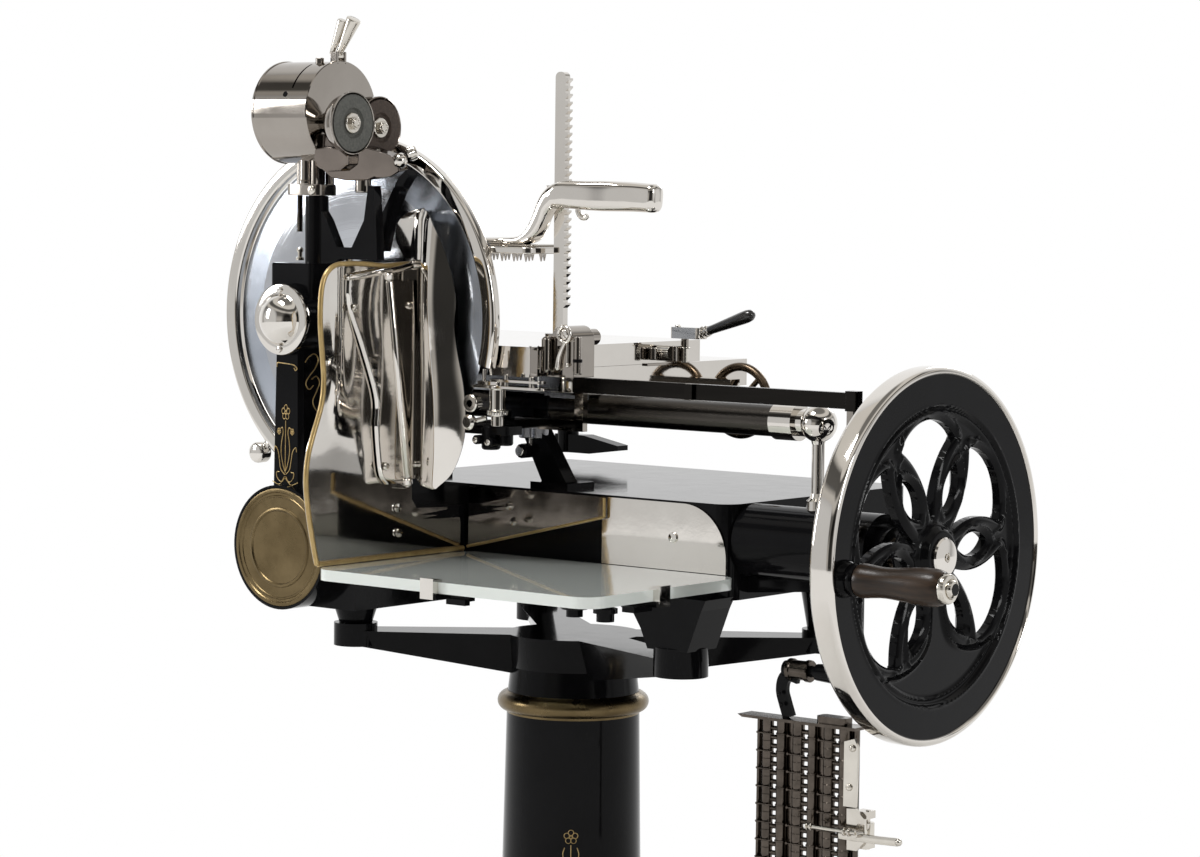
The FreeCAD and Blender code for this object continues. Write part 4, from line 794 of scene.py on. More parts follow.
def flywheel_cap_piece():
    turned("hub_cap", NICKEL, "flywheel", "flywheel_cap",
           [(0, 704), (20.6, 704), (21, 704.6), (21, 706.3), (19.4, 708), (16, 708.8),
            (5.2, 709.3), (4.8, 708.4), (0, 708.4)], WHEEL, X, 64)
    turned("hub_cap_ring", NICKEL_SOFT, "flywheel", None,
           [(2.6, 708.4), (4.2, 708.4), (4.0, 710), (2.8, 710)], WHEEL, X, 40, closed=True)


CRANK_R = 170.0
CRANK_ANGLE = radians(183.0)
CRANK = wheel_at(CRANK_R * cos(CRANK_ANGLE), CRANK_R * sin(CRANK_ANGLE), 0)


def crank_handle():
    turned("crank_collar", BLACK, "flywheel", "handle_spindle",
           [(0, 676), (9, 676), (9, 692), (19.6, 692), (19.6, 697), (19.2, 700), (17.6, 704),
            (16, 706), (16.6, 708), (17.4, 710), (17.4, 713), (16, 715.4), (6, 715.7), (6, 829),
            (0, 829)], CRANK, X, 48)
    turned("turned_grip", WOOD, "crank_grip", "wooden_grip",
           [(6.05, 716), (14.6, 716), (16.6, 717), (17.4, 720), (17.3, 725), (16.4, 733),
            (15.6, 742), (15.5, 750), (16.2, 761), (17.4, 773), (18.5, 784), (19.1, 794),
            (19.1, 802), (18.4, 809), (17.2, 813.6), (15.6, 816), (6.05, 816)], CRANK, X, 64)
    turned("grip_cap", NICKEL_SOFT, "crank_grip", "grip_ferrule",
           [(6.05, 816), (14.8, 816), (15.2, 817), (15.2, 821.4), (14.4, 823), (13.2, 823.6),
            (10.4, 823.8), (10.0, 823.0), (9.4, 822.8)], CRANK, X, 48)
    Piece().screws(X, (CRANK + X * 822.8, 9.4, 6.0, 62)).make(
        "grip_screw", NICKEL_SOFT, "crank_grip", angle=30)


# ---- blade, ring and gear column ----------------------------------------------------
BLADE_R = 185.0
BEVEL_R = 150.0
RING_HALF = 7.0
RING_START = radians(14)
RING_TURN = 302.0
COLUMN_FRONT = v(0, -122, 0)
LID_Z = -252.0


def guard_ring_piece():
    """Open ring round the blade with its end pin and the disc knob at its lower left."""
    profile = (arc(201.0, 3.0, 4.0, 0, 90, 6) + arc(190.5, 4.0, 3.0, 90, 180, 4)
               + arc(190.5, -4.0, 3.0, 180, 270, 4) + arc(201.0, -3.0, 4.0, 270, 360, 6))
    start = v(cos(RING_START), 0, -sin(RING_START))
    ring = Piece().add(*lathe(profile, BLADE_CENTRE, -Y, 200, RING_TURN, start, closed=True))
    ring.add(*rounded_block(-16, 16, -RING_HALF, RING_HALF, -212, -200, 3))
    ring.add(*lathe([(0, -1), (10, -1), (12, 1), (12, 12), (11, 14), (8, 15.4), (0, 16)],
                    v(-151, 4, -162), -Y, 40))
    ring.rods(((-138, 0, -148), (-151, 0, -162), 5))
    ring.make("nickel_ring", NICKEL, "frame", "guard_ring", angle=40)


def blade_piece():
    turned("blade_bevel", BEVEL, "blade_body", "blade",
           [(0, -3), (BLADE_R - 1, -3), (BLADE_R, -2.6), (BLADE_R, -2.3), (BEVEL_R, 2)],
           BLADE_CENTRE, -Y, 220, 20)
    turned("blade_face", BLADE, "blade_body", None,
           [(BEVEL_R, 1.99), (BEVEL_R - 1, 2.0), (96, 2.0), (94, 1.6), (0, 1.6)],
           BLADE_CENTRE, -Y, 220, 20)


def dome_piece():
    turned("column_dome", NICKEL, "frame", "hub_dome",
           [(0, 0), (39.4, 0), (39.4, 4.4), (38.8, 5.8), (37, 6.5), (29, 6.5), (28, 7.4),
            (26.6, 9.4), (24.4, 13.6), (20.6, 17.6), (15.4, 20.8), (9, 22.9), (4, 23.7), (0, 24)],
           COLUMN_FRONT, -Y, 96)


def oiler_pieces():
    """Small oil cups on top of the column block."""
    oilers = Piece()
    for place in ((-25.5, -70, 64), (24, -70, 64), (21, -40, 64)):
        oilers.add(*lathe([(0, 0), (4.6, 0), (4.6, 3), (2.6, 4), (2.6, 9), (3.8, 10), (3.8, 12.6),
                           (2.4, 14.4), (0, 14.8)], Vector(place), Z, 28))
    oilers.make("block_oilers", NICKEL_SOFT, "frame", angle=30)


def lid_piece():
    turned("brass_lid", BRASS, "frame", "case_lid",
           [(0, 0), (66, 0), (66, 5.2), (65, 6.6), (63, 7), (61.4, 6.8), (60.4, 5.6), (58, 5.4),
            (57.2, 6.2), (56, 6.2), (55.2, 5.4), (44.6, 5.4), (44, 6.4), (43, 6.8), (41.4, 6.8),
            (40.6, 6.2), (40, 5.3), (0, 5.1)], COLUMN_FRONT + Z * LID_Z, -Y, 120)


# ---- pedestal -----------------------------------------------------------------------
COLUMN_TOP_Z = -449.0
COLUMN_LOW_Z = -870.0
COLLAR_Z = -436.0
FOOT_R = 235.0


def pedestal_pieces():
    """Column, gold collar and flared foot."""
    turned("column_shell", BLACK, "frame", "pedestal_column",
           [(66, COLUMN_LOW_Z), (83, COLUMN_LOW_Z), (84, COLUMN_LOW_Z + 2), (76, COLUMN_TOP_Z),
            (66, COLUMN_TOP_Z)], PEDESTAL, Z, 160)
    collar = ([(40, COLUMN_TOP_Z), (76, COLUMN_TOP_Z), (76, COLLAR_Z - 10.6)]
              + arc(76, COLLAR_Z, 10.5, -80, 80, 14) + [(76, COLLAR_Z + 12), (40, COLLAR_Z + 12)])
    turned("collar_bead", BRASS, "frame", "pedestal_collar", collar, PEDESTAL, Z, 160, 40)
    foot = ([(0, 0), (FOOT_R - 2, 0), (FOOT_R, 2), (FOOT_R, 16)]
            + arc(FOOT_R - 16, 16, 16, 8, 84, 6)
            + [(196, 38), (172, 50), (150, 67), (132, 90), (118, 118), (109, 144), (104, 166)]
            + arc(103, 182, 11, -70, 70, 8) + [(96, 199), (92, 205), (92, 258), (90, 260),
                                              (64, 260), (64, 226), (0, 226)])
    turned("foot_flare", BLACK, "frame", "pedestal_foot", foot, PEDESTAL + Z * FLOOR_Z, Z, 160)


# ---- plates -------------------------------------------------------------------------
def row_sheet(low, high, step, left, right, count, place):
    """Skin of level rows that run from a left to a right border line."""
    levels = np.linspace(high, low, int((high - low) / step) + 1)
    verts, faces = [], []
    for z in levels:
        a, b = left(z), right(z)
        verts += [place(a + (b - a) * k / count, z) for k in range(count + 1)]
    wide = count + 1
    for i in range(len(levels) - 1):
        for k in range(count):
            a = i * wide + k
            faces.append((a, a + wide, a + wide + 1, a + 1))
    return verts, faces


def border(points):
    """Smooth line through the points, read as a side position for a level."""
    levels, sides = zip(*sorted((b, a) for a, b in smooth_flat(points, 5)))
    return lambda z: float(np.interp(z, levels, sides))


COVER_PLANE = 90.0
COVER_LOW_Z = -260.0
COVER_LEFT = [(-124, 63.5), (-136, 62.6), (-147, 58), (-155.5, 49), (-160.5, 32),
              (-161.6, 0), (-158, -36), (-155.6, -62), (-159, -88), (-172, -121), (-179.6, -143),
              (-182.6, -168), (-179.6, -197), (-172, -233), (-165, COVER_LOW_Z)]
COVER_RIGHT = [(-16, 63.5), (-9, 56), (-9, -200), (0, -212), (60, -214), (74, -230),
               (79, COVER_LOW_Z)]
COVER_TOP = [(-18, 62.5), (-60, 61), (-100, 63.4)]
BEAD_R = 2.9
SPLASH_BEAD_Y = 79.4
SPLASH_CORNERS = [(96, -259), (294, -212), (294, -191)]


def cover_piece():
    """Polished sheet with a soft bulge along its upper left side."""
    def place(y, z):
        return v(COVER_PLANE + 4.6 * bell(y, -136, 22.0) * rise(z, -78, 24.0), y, z)

    verts, faces = row_sheet(COVER_LOW_Z, 63.5, 2.6, border(COVER_LEFT), border(COVER_RIGHT), 60,
                             place)
    obj = Piece().add(verts, faces).make("cover_sheet", NICKEL, "frame", "cover_plate", angle=60)
    thicken(obj, 2.0, -1.0)


def bead_piece():
    """Brass bead round the cover's left side and along its foot, and the splash plate's."""
    path = [v(COVER_PLANE + 2.4, y, z) for y, z in smooth_flat(COVER_TOP + COVER_LEFT, 5)]
    low = [v(COVER_PLANE + 2.4, y, COVER_LOW_Z - 1) for y in np.linspace(-163, 76, 14)]
    bead = Piece().add(*tube(path, BEAD_R, 16)).add(*tube(low, BEAD_R, 16))
    bead.add(*ball(path[-1], BEAD_R, 20, 10))
    bead.make("cover_bead", GOLD, "frame", "brass_trim", angle=50)
    strip = Piece()
    corners = [v(x, SPLASH_BEAD_Y, z) for x, z in SPLASH_CORNERS]
    for pair in zip(corners, corners[1:]):
        strip.add(*tube(pair, 1.7, 12))
    strip.make("splash_bead", GOLD, "frame", angle=50)


LEAF_LEFT = [(-119, 57), (-121, 42), (-121, 28), (-116, 10), (-101, -20), (-84.5, -57),
             (-75, -83), (-73.2, -100), (-74.2, -116), (-70.5, -149), (-66, -170), (-57, -180)]
LEAF_RIGHT = [(-20, 52), (-18, 20), (-15, -20), (-12, -60), (-8, -100), (-4, -140), (-4, -160),
              (-9, -172), (-18, -180)]
PIN_TOP = v(98, -58, 44)
PIN_LOW = v(98, -26, -176)
PIN_RUN = (PIN_LOW - PIN_TOP).normalized()


def pin_at(z):
    return PIN_TOP.y + (PIN_LOW.y - PIN_TOP.y) * (PIN_TOP.z - z) / (PIN_TOP.z - PIN_LOW.z)


def leaf_pieces():
    """Fixed half of the guide leaf, its hinge pin, the rolled top edge and two screws."""
    edge = border(LEAF_LEFT)

    def place(y, z):
        near = y - edge(z)
        reach = near / (pin_at(z) - edge(z))
        return v(94.8 + 3.2 * reach - 2.6 * bell(near, 0, 1.5), y, z)

    verts, faces = row_sheet(-180, 52, 3.0, edge, lambda z: pin_at(z) - 4.4, 80, place)
    fixed = Piece().add(verts, faces).make("fixed_leaf", NICKEL, "frame", angle=60)
    thicken(fixed, 1.4)
    hinge = Piece().rods((PIN_TOP - PIN_RUN * 9, PIN_LOW + PIN_RUN * 9, 2.5, 24))
    for a, b in ((-9, -1.2), (221.4, 229.6)):
        hinge.add(*lathe([(0, a), (4.6, a), (5.8, a + 1.4), (5.8, b - 1.4), (4.6, b), (0, b)],
                         PIN_TOP, PIN_RUN, 32))
    for y, z in ((-62, 44), (-30, -184)):
        hinge.add(*block(91, 98, y - 3, y + 3, z - 2.4, z + 2.4))
    hinge.make("leaf_hinge", NICKEL, "frame", bevel=0.4)
    roll = smooth_path([(96, -121.5, 48), (96, -108, 49.6), (96, -90, 51.6), (96, -68, 54),
                        (96, -40, 57), (95, -17, 61)], 6)
    top = Piece().add(*tube(roll, [2.2 + 1.6 * min(1, i / 6) for i in range(len(roll))], 18))
    top.add(*ball(v(95, -15, 62), 5.2, 28, 14)).add(*ball(roll[0], 2.2, 20, 10))
    top.make("cover_roll", NICKEL, "frame")
    Piece().screws(X, ((98.4, -114, 15.5), 4.4, 3.0, 40), ((98.4, -62, -160), 4.4, 3.0, 90)).make(
        "leaf_screws", NICKEL_SOFT, "frame", angle=30)


def swing_leaf_piece():
    """Moving half of the leaf with its eye on the pin."""
    verts, faces = row_sheet(-176, 44, 3.0, lambda z: pin_at(z) + 3.4, border(LEAF_RIGHT), 12,
                             lambda y, z: v(98.2, y, z))
    sheet = Piece().add(verts, faces).make("swing_leaf", NICKEL, "deflector", "slice_deflector",
                                           angle=60)
    thicken(sheet, 1.4)
    eye = Piece().add(*lathe([(2.55, 0), (4.2, 0), (4.8, 0.8), (4.8, 219.2), (4.2, 220),
                              (2.55, 220)], PIN_TOP, PIN_RUN, 32, closed=True))
    eye.screws(X, ((98.8, -26, 16), 3.8, 2.8, 20), ((98.8, -12.5, -160), 3.8, 2.8, 80))
    eye.make("swing_leaf_eye", NICKEL, "deflector", angle=40)


# Section of the wing seen from above, and its outline seen from the front.
WAVE = [(64, -13.5), (78, -13.2), (91.25, -13), (97, -12.8), (104, -14), (113, -20.5),
        (122, -27), (132, -29), (142, -27), (152, -21), (162, -16), (174, -12), (186, -10)]
WING_LEFT = [(106, 124), (91, 121.6), (78, 115), (70, 106), (67.5, 96), (69, 86), (77, 74),
             (85, 62), (90.4, 40), (91.25, 10), (91.25, -60), (91.25, -160), (94, -172),
             (112, -180), (138, -184)]
WING_RIGHT = [(108, 124), (119, 122.6), (131, 116), (140, 101), (147, 84), (155, 55), (160, 24),
              (158.6, -4), (162, -34), (169, -70), (172, -106), (169, -136), (158, -166),
              (142, -184)]


def wing_piece():
    """Curved guide sheet in front of the blade, cut to its outline."""
    xs, ys = zip(*smooth_flat(WAVE, 6))

    def place(x, z):
        swell = -6.0 * bell(z, 30, 80.0) * bell(x, 130, 20.0)
        lower = -5.0 * bell(z, -110, 50.0) * bell(x, 150, 16.0)
        lip = 4.0 * bell(z, 124, 9.0)
        return v(x, float(np.interp(x, xs, ys)) + swell + lower + lip, z)

    verts, faces = row_sheet(-184, 124, 2.6, border(WING_LEFT), border(WING_RIGHT), 44, place)
    obj = Piece().add(verts, faces).make("curved_wing", NICKEL, "frame", "wing_plate", angle=60)
    thicken(obj, 2.2)


# ---- meat holder --------------------------------------------------------------------
HOLDER_LINE = [(150, 30, 89.5), (186, 29, 89.5), (212, 27.5, 90), (227, 26.4, 93), (237, 26, 101),
               (244.5, 25.4, 113), (251, 25, 126), (260, 24.6, 136), (273, 24.6, 141),
               (290, 27, 141), (312, 31, 140.4), (338, 37, 140), (362, 40, 139.6), (384, 40, 138.6),
               (394.5, 40, 138)]
# Half sizes of the arm's section against the share of its length.
ARM_WIDE = ([0, 0.19, 0.37, 0.51, 0.65, 1], [15, 14.5, 11, 10.4, 11, 12.6])
ARM_TALL = ([0, 0.19, 0.28, 0.42, 0.54, 0.62, 0.75, 0.93], [3.4, 5, 8, 9, 13.2, 15, 16.4, 15.4])
ARM_SQUARENESS = 0.62
ARM_END_X = 386.0
ARM_END_LENGTH = 8.5
PLATE_Z = 76.0


def holder_arm():
    """Arm that widens from the plate into a flat handle with a round end."""
    line = smooth_path(HOLDER_LINE, 6)
    shape = [tuple(copysign(abs(c) ** ARM_SQUARENESS, c)
                   for c in (cos(2 * pi * k / 28), sin(2 * pi * k / 28))) for k in range(28)]
    loops = []
    for number, (point, run) in enumerate(zip(line, headings(line))):
        up = run.cross(Y).normalized()
        t = number / (len(line) - 1)
        tip = max(0.0, (point.x - ARM_END_X) / ARM_END_LENGTH) ** 3
        wide = float(np.interp(t, *ARM_WIDE)) * (1 - 0.45 * tip)
        tall = float(np.interp(t, *ARM_TALL)) * (1 - 0.32 * tip)
        loops.append([point + Y * (c * wide) + up * (d * tall) for c, d in shape])
    return loft(loops)


def holder_pieces():
    """Arm with its socket round the rack post and a hook, the plate and its spikes."""
    arm = Piece().add(*holder_arm())
    for x0, x1, y0 in ((247, 252.6, 30), (273.6, 279, 30), (247, 279, 45.4)):
        arm.add(*block(x0, x1, y0, 52, 129, 151))
    hook = smooth_path([(287, 36, 129), (288, 36, 122), (292.5, 36, 117), (298, 36, 116.6),
                        (301, 36, 119.5)], 4)
    arm.add(*tube(hook, 3.0, 14))
    arm.make("holder_arm", NICKEL, "holder", "meat_holder", bevel=1.2, angle=50)
    plate = Piece().add(*rounded_block(110, 244, 6, 86, PLATE_Z, 83.5, 12))
    plate.add(*rounded_block(126, 236, 18, 74, 83.5, 86.5, 9))
    plate.make("holder_plate", NICKEL, "holder", bevel=1.6, segments=3)
    spikes = Piece()
    for column in range(7):
        for row in range(3):
            spikes.add(*lathe([(0, 0), (2.3, 0), (2.3, 1.2), (0.7, 8.4), (0, 8.8)],
                              v(126 + 17 * column, 20 + 26 * row, PLATE_Z), -Z, 16))
    spikes.make("holder_points", NICKEL_SHADE_PAINTED, "holder", "holder_spikes", angle=30)


# ---- sharpener ----------------------------------------------------------------------
DRUM = v(0, -70, 228)
DRUM_SEGS = 144
DRUM_PROFILE = [(0, -48), (54.6, -48), (56.4, -47.4), (57, -46.4), (57, -44.6), (56.2, -43.8),
                (56.2, 8), (56.2, 10.4), (56.2, 32.4), (57, 33.2), (57, 35), (56.2, 35.9),
                (54.8, 36), (0, 36)]
DRUM_SLOT_ROW = 6
DRUM_SLOT_START = 20.0
DRUM_SLOT_END = 62.0
CAM_PIN = v(31, -70, 290.5)
BALL_SCREW_AXIS = v(0.6, 0.5, 0.35)
# The two stones: both ends along X, the axis' Y and Z, and the radius.
STONES = ((66.0, 81.0, -99.0, 216.0, 31.0), (53.0, 65.0, -36.5, 212.0, 31.0))


def drum_pieces():
    """Barrel skin with a slot round part of its upper side and an oil hole; a black ring inside and
    a black plug are painted shade in the slot and the hole.
    """
    verts, faces = lathe(DRUM_PROFILE, DRUM, X, DRUM_SEGS, start=Z)
    kept = []
    for number, face in enumerate(faces):
        seg, row = divmod(number, len(DRUM_PROFILE) - 1)
        turn = (seg + 0.5) * 360.0 / DRUM_SEGS
        if row != DRUM_SLOT_ROW or not DRUM_SLOT_START < turn < DRUM_SLOT_END:
            kept.append(face)
    Piece().add(verts, kept).make("sharpener_barrel", NICKEL_SHADE_PAINTED, "sharpener", "sharpener_drum",
                                  angle=30)
    # Painted shade: a black ring just inside the barrel darkens the slot, and a black plug stands
    # for the dark of the oil hole.
    dark = Piece().add(*lathe([(52, -6), (54.4, -6), (54.4, 24), (52, 24)], DRUM, X, 96,
                              closed=True))
    ray = v(0, -sin(radians(70)), cos(radians(70)))
    dark.rods((DRUM + X * 1.2 + ray * 50, DRUM + X * 1.2 + ray * 56.6, 3.2, 24))
    dark.make("drum_slot_painted_shade", BLACK, "sharpener")


def cup_piece():
    """Bell behind the front stone, with a thin rolled rim."""
    _, _, y, z, radius = STONES[0]
    r = radius + 2.4
    turned("stone_cup", NICKEL_SHADE_PAINTED, "sharpener", None,
           [(0, 35), (10.4, 35), (10.4, 38), (11.6, 41), (14.6, 46), (18.6, 52), (24, 58.4),
            (28.4, 63.4), (31, 68.4), (32.4, 74), (r, 78.2), (r + 0.9, 79.4), (r + 0.7, 80.6),
            (r - 0.2, 80.8), (r - 1.0, 79.8), (r - 1.6, 74), (29, 67), (22, 60), (0, 60)],
           v(0, y, z), X, 96, 40)


def hood_piece():
    """Hood over the back and the upper rim of the second stone, in nickel darkened as painted
    shade.
    """
    x0, x1, y, z, radius = STONES[1]
    r = radius + 1.6
    inner = [(0, x0 - 3), (r - 2, x0 - 3), (r, x0 - 1), (r, x1 - 1.4)]
    outer = [(r + 1.0, x1 - 0.8), (r + 2.0, x1 - 1.6), (r + 2.0, x0 - 4), (r, x0 - 6), (0, x0 - 6)]
    start = v(0, cos(radians(-35)), sin(radians(-35)))
    hood = Piece().add(*lathe(inner + outer, v(0, y, z), X, 84, 250.0, start, closed=True))
    hood.add(*lathe([(0, 34), (9, 34), (9, 40), (8, 42), (8, x0 - 5), (0, x0 - 5)],
                    v(0, y, z), X, 40))
    hood.make("stone_hood", HOOD_SHADE_PAINTED, "sharpener", angle=40)


def stone_nuts():
    """Hexagon nuts on round washers at the ends of the two stone pins."""
    for number, (_, x1, y, z, _) in enumerate(STONES):
        nut = Piece().add(*lathe([(0, x1 - 2.6), (11.5, x1 - 2.6), (11.5, x1 - 0.6),
                                  (10.6, x1 + 0.4), (0, x1 + 0.4)], v(0, y, z), X, 48))
        ring = [v(x1 + 0.4, a, b) for a, b in arc(y, z, 7.4, 12, 312, 5)]
        nut.add(*prism(ring, X * 4.4))
        nut.add(*lathe([(0, x1 + 4.6), (5.4, x1 + 4.6), (5.2, x1 + 6.2), (3.6, x1 + 6.4),
                        (3.2, x1 + 5.6), (0, x1 + 5.6)], v(0, y, z), X, 36))
        nut.make("stone_nut_%d" % number, NICKEL_SOFT, "sharpener", bevel=0.5, angle=30)


def carrier_piece():
    """Casting between the stones' pins, with a lower lobe and a flat back."""
    body = [v(38, -104, 166), v(38, -104, 186), v(44, -100, 190), v(60, -92, 190), v(80, -78, 190),
            v(98, -60, 182), v(100, -50, 176), v(100, -44, 164), v(92, -50, 158),
            v(74, -66, 154), v(56, -82, 153), v(46, -96, 156)]
    lower = [v(34, -112, 178), v(36, -113, 188), v(52, -111, 190), v(66, -106, 188),
             v(74, -100, 180), v(72, -98, 171), v(62, -101, 164), v(48, -107, 163),
             v(38, -111, 168)]
    carrier = Piece().add(*prism(body, v(-8, 24, 2))).add(*prism(lower, v(2, 16, 0)))
    carrier.add(*block(34, 42, -104, -30, 166, 204))
    carrier.make("stone_carrier", HOOD_SHADE_PAINTED, "sharpener", bevel=1.8, segments=3)


def sharpener_fittings():
    """Collar, studs, stone pins, cam ears, small nut, ball screw and thread."""
    rest = Piece().add(*rounded_block(-34, 18, -87, -53, 136.3, 149, 9))
    for x, y, r in ((-24, -70, 5.4), (-5, -82, 8.0), (10, -84, 4.6), (8, -58, 5)):
        rest.rods(((x, y, 148), (x, y, 190), r, 28))
    rest.add(*lathe([(0, 149), (9, 149), (9, 153), (7, 154), (0, 154)], v(-5, -82, 0), Z, 32))
    rest.rods(((36, -98, 217), (82, -98, 217), 4, 20), ((36, -37, 212), (62, -37, 212), 4, 20))
    for y in (-78, -65.4):
        rest.add(*block(26, 36, y, y + 3.4, 281, 295))
    rest.rods(((16, -84, 281), (16, -84, 288), 5, 6), ((60, -60, 140), (60, -60, 156), 9, 32, 1.2))
    rest.make("sharpener_fittings", NICKEL_SHADE_PAINTED, "sharpener", bevel=1.4, segments=3)
    Piece().screws(-Y, ((8, -87, 142.6), 5.6, 2.4, 70)).make(
        "collar_screw", NICKEL_SOFT, "sharpener", angle=30)
    joint = Piece().add(*ball(v(102, -46, 176), 8.6))
    foot = v(106, -38, 182)
    joint.add(*lathe([(0, 0), (6.4, 0), (7.6, 2), (7.6, 9), (6.0, 11), (0, 11)], foot,
                     BALL_SCREW_AXIS, 32))
    side, up, axis = basis(BALL_SCREW_AXIS)
    for a, b in arc(0, 0, 7.4, 0, 320, 8):
        rib = foot + side * a + up * b
        joint.rods((rib + axis * 2.4, rib + axis * 8.6, 1.3, 10))
    joint.make("ball_screw", NICKEL, "sharpener")
    turns = [(2.7 if k % 2 else 3.7, 96 + 1.3 * k) for k in range(32)]
    turned("sharpener_thread", CHAIN, "sharpener", None, [(0, 96)] + turns + [(0, turns[-1][1])],
           v(-26, -70, 0), Z, 24, 20)


def lever_piece():
    """Pair of tapered grips on the cam pin."""
    lever = Piece().add(*lathe([(0, 0), (3.6, 0), (4.2, 8), (8.3, 44.6), (8.0, 45.6), (7.2, 46),
                                (0, 46)], CAM_PIN, v(0.50, 0, 0.866), 40))
    lever.add(*lathe([(0, 2), (2.8, 2), (5.4, 41), (5.2, 42.4), (4.4, 43), (0, 43)],
                     CAM_PIN + v(-7, -4, 0), v(0.43, -0.05, 0.9), 36))
    lever.rods((CAM_PIN - Y * 4.2, CAM_PIN + Y * 4.2, 4.5, 28, 0.6))
    lever.make("cam_grip", NICKEL_SOFT, "cam_lever", "sharpener_lever", angle=30)


# ---- fittings of the meat table -------------------------------------------------------
CLAMP_X = 279.0
LEVER_AXIS = v(284, 235, 0)
LEVER_RUN = v(0.947, 0, 0.32)


def clamp_pieces():
    """Round-headed clamp of the rack post with its guide, screw, link and bolt."""
    body = Piece()
    arch = [(CLAMP_X - 16, -57), (CLAMP_X + 16, -57)] + arc(CLAMP_X, -17, 16, 0, 180, 18)
    body.add(*prism([v(x, 22, z) for x, z in arch], Y * 36))
    body.add(*rounded_block(250.6, 266, 24, 60, -57, -10, 4))
    body.rods(((283, 48, -14), (283, 74, -14), 9, 36, 1.2),
              ((261, 17, -52), (261, 17, -13), 5.6, 32, 2.6),
              ((299, 24, -53), (299, 24, -12), 4.8, 32, 0.8),
              ((299, 24, -22), (285, 34, -22), 3.4, 24))
    body.make("clamp_body", NICKEL_SHADE_PAINTED, "table", "rack_clamp", bevel=1.4, segments=3)
    guide = Piece()
    for y0, y1, z0, z1 in ((1, 5, -56, -24), (12, 16, -56, -24), (1, 16, -56, -52),
                           (1, 16, -28, -24)):
        guide.add(*block(250.6, 262, y0, y1, z0, z1))
    guide.make("clamp_guide", NICKEL_SHADE_PAINTED, "table", bevel=0.8)
    Piece().rods(((299, 24, -40), (299, 24, -36), 5.3, 32, 0.6)).make("clamp_band", BLACK, "table")
    link = Piece().screws(-Y, ((283, 21.6, -10), 6.0, 3.0, 130))
    ring = [v(a, 20, b) for a, b in arc(283, -10, 8.4, 0, 348, 29)]
    link.add(*tube(ring, 2.0, 12, closed=True))
    drop = smooth_path([(284, 20, -19), (280, 19, -27), (276.5, 18.6, -36), (275, 18.6, -46)], 4)
    link.add(*tube(drop, [2.0 + 0.12 * k for k in range(len(drop))], 14))
    link.add(*ball(drop[-1], 3.4, 24, 12))
    link.rods(((288, 20, -42), (288, 20, -16), 1.5, 16))
    link.add(*ball(v(288, 20, -43), 2.4, 20, 10))
    link.make("clamp_link", NICKEL, "table", angle=40)


def lever_stud_pieces():
    """Bracket, knurled drum and stepped stud below the feed lever."""
    dark = Piece().add(*rounded_block(250, 280, 222, 240, -46, -29, 4))
    dark.rods(((256, 212, -45), (256, 212, -31), 5, 28, 0.8),
              (LEVER_AXIS - Z * 31, LEVER_AXIS - Z * 20.6, 4.6, 28, 0.6))
    dark.add(*block(250, 254, 205, 250, -52, -49))
    dark.make("lever_bracket", NICKEL_SHADE_PAINTED, "table", "lever_stud", bevel=0.8)
    bright = Piece().rods((LEVER_AXIS - Z * 48, LEVER_AXIS - Z * 31, 3.7, 28, 0.8))
    bright.add(*knurled(v(254, 226, -37), v(272, 226, -37), 8.6, 20))
    bright.rods((LEVER_AXIS - Z * 31.6, LEVER_AXIS - Z * 30, 6, 28, 0.5))
    bright.make("lever_drum", NICKEL_SOFT, "table", bevel=0.4)


def feed_lever_pieces():
    """Flat block with a screw on top, two rings and the tapered black grip."""
    lever = Piece().add(*rounded_block(269, 310, 226, 244, -20.2, -7.4, 3.4))
    lever.rods(((306, 235, -14), (319, 235, -10.2), 5.4, 28))
    for x, z, r in ((310.5, -12.6, 7.4), (315.5, -11.0, 6.6)):
        lever.add(*lathe([(0, -1.6), (r - 1, -1.6), (r, -0.6), (r, 0.6), (r - 1, 1.6), (0, 1.6)],
                         v(x, 235, z), LEVER_RUN, 36))
    lever.screws(Z, ((276, 232, -7.4), 3.6, 2.6, 40))
    lever.make("feed_lever_block", NICKEL, "feed_lever_body", "feed_lever", bevel=1.2)
    turned("feed_grip", GRIP, "feed_lever_body", "lever_grip",
           [(0, 0), (4.6, 0), (5.2, 1.2), (5.0, 6), (6.4, 34), (7.2, 50), (7.2, 57), (6.2, 62),
            (4, 65), (1.6, 66.2), (0, 66.4)], v(317.5, 235, -10.4), LEVER_RUN, 48, 40)


# ---- gauge at the open end of the guard ----------------------------------------------
TUBE_AXIS = v(0, 130, -98)
GAUGE_STEM = v(211.5, -6, 0)
GAUGE_KNOB = v(183, -20, -88)
ARM_STUDS = ((186, -13, -128), (204, -13, -130))


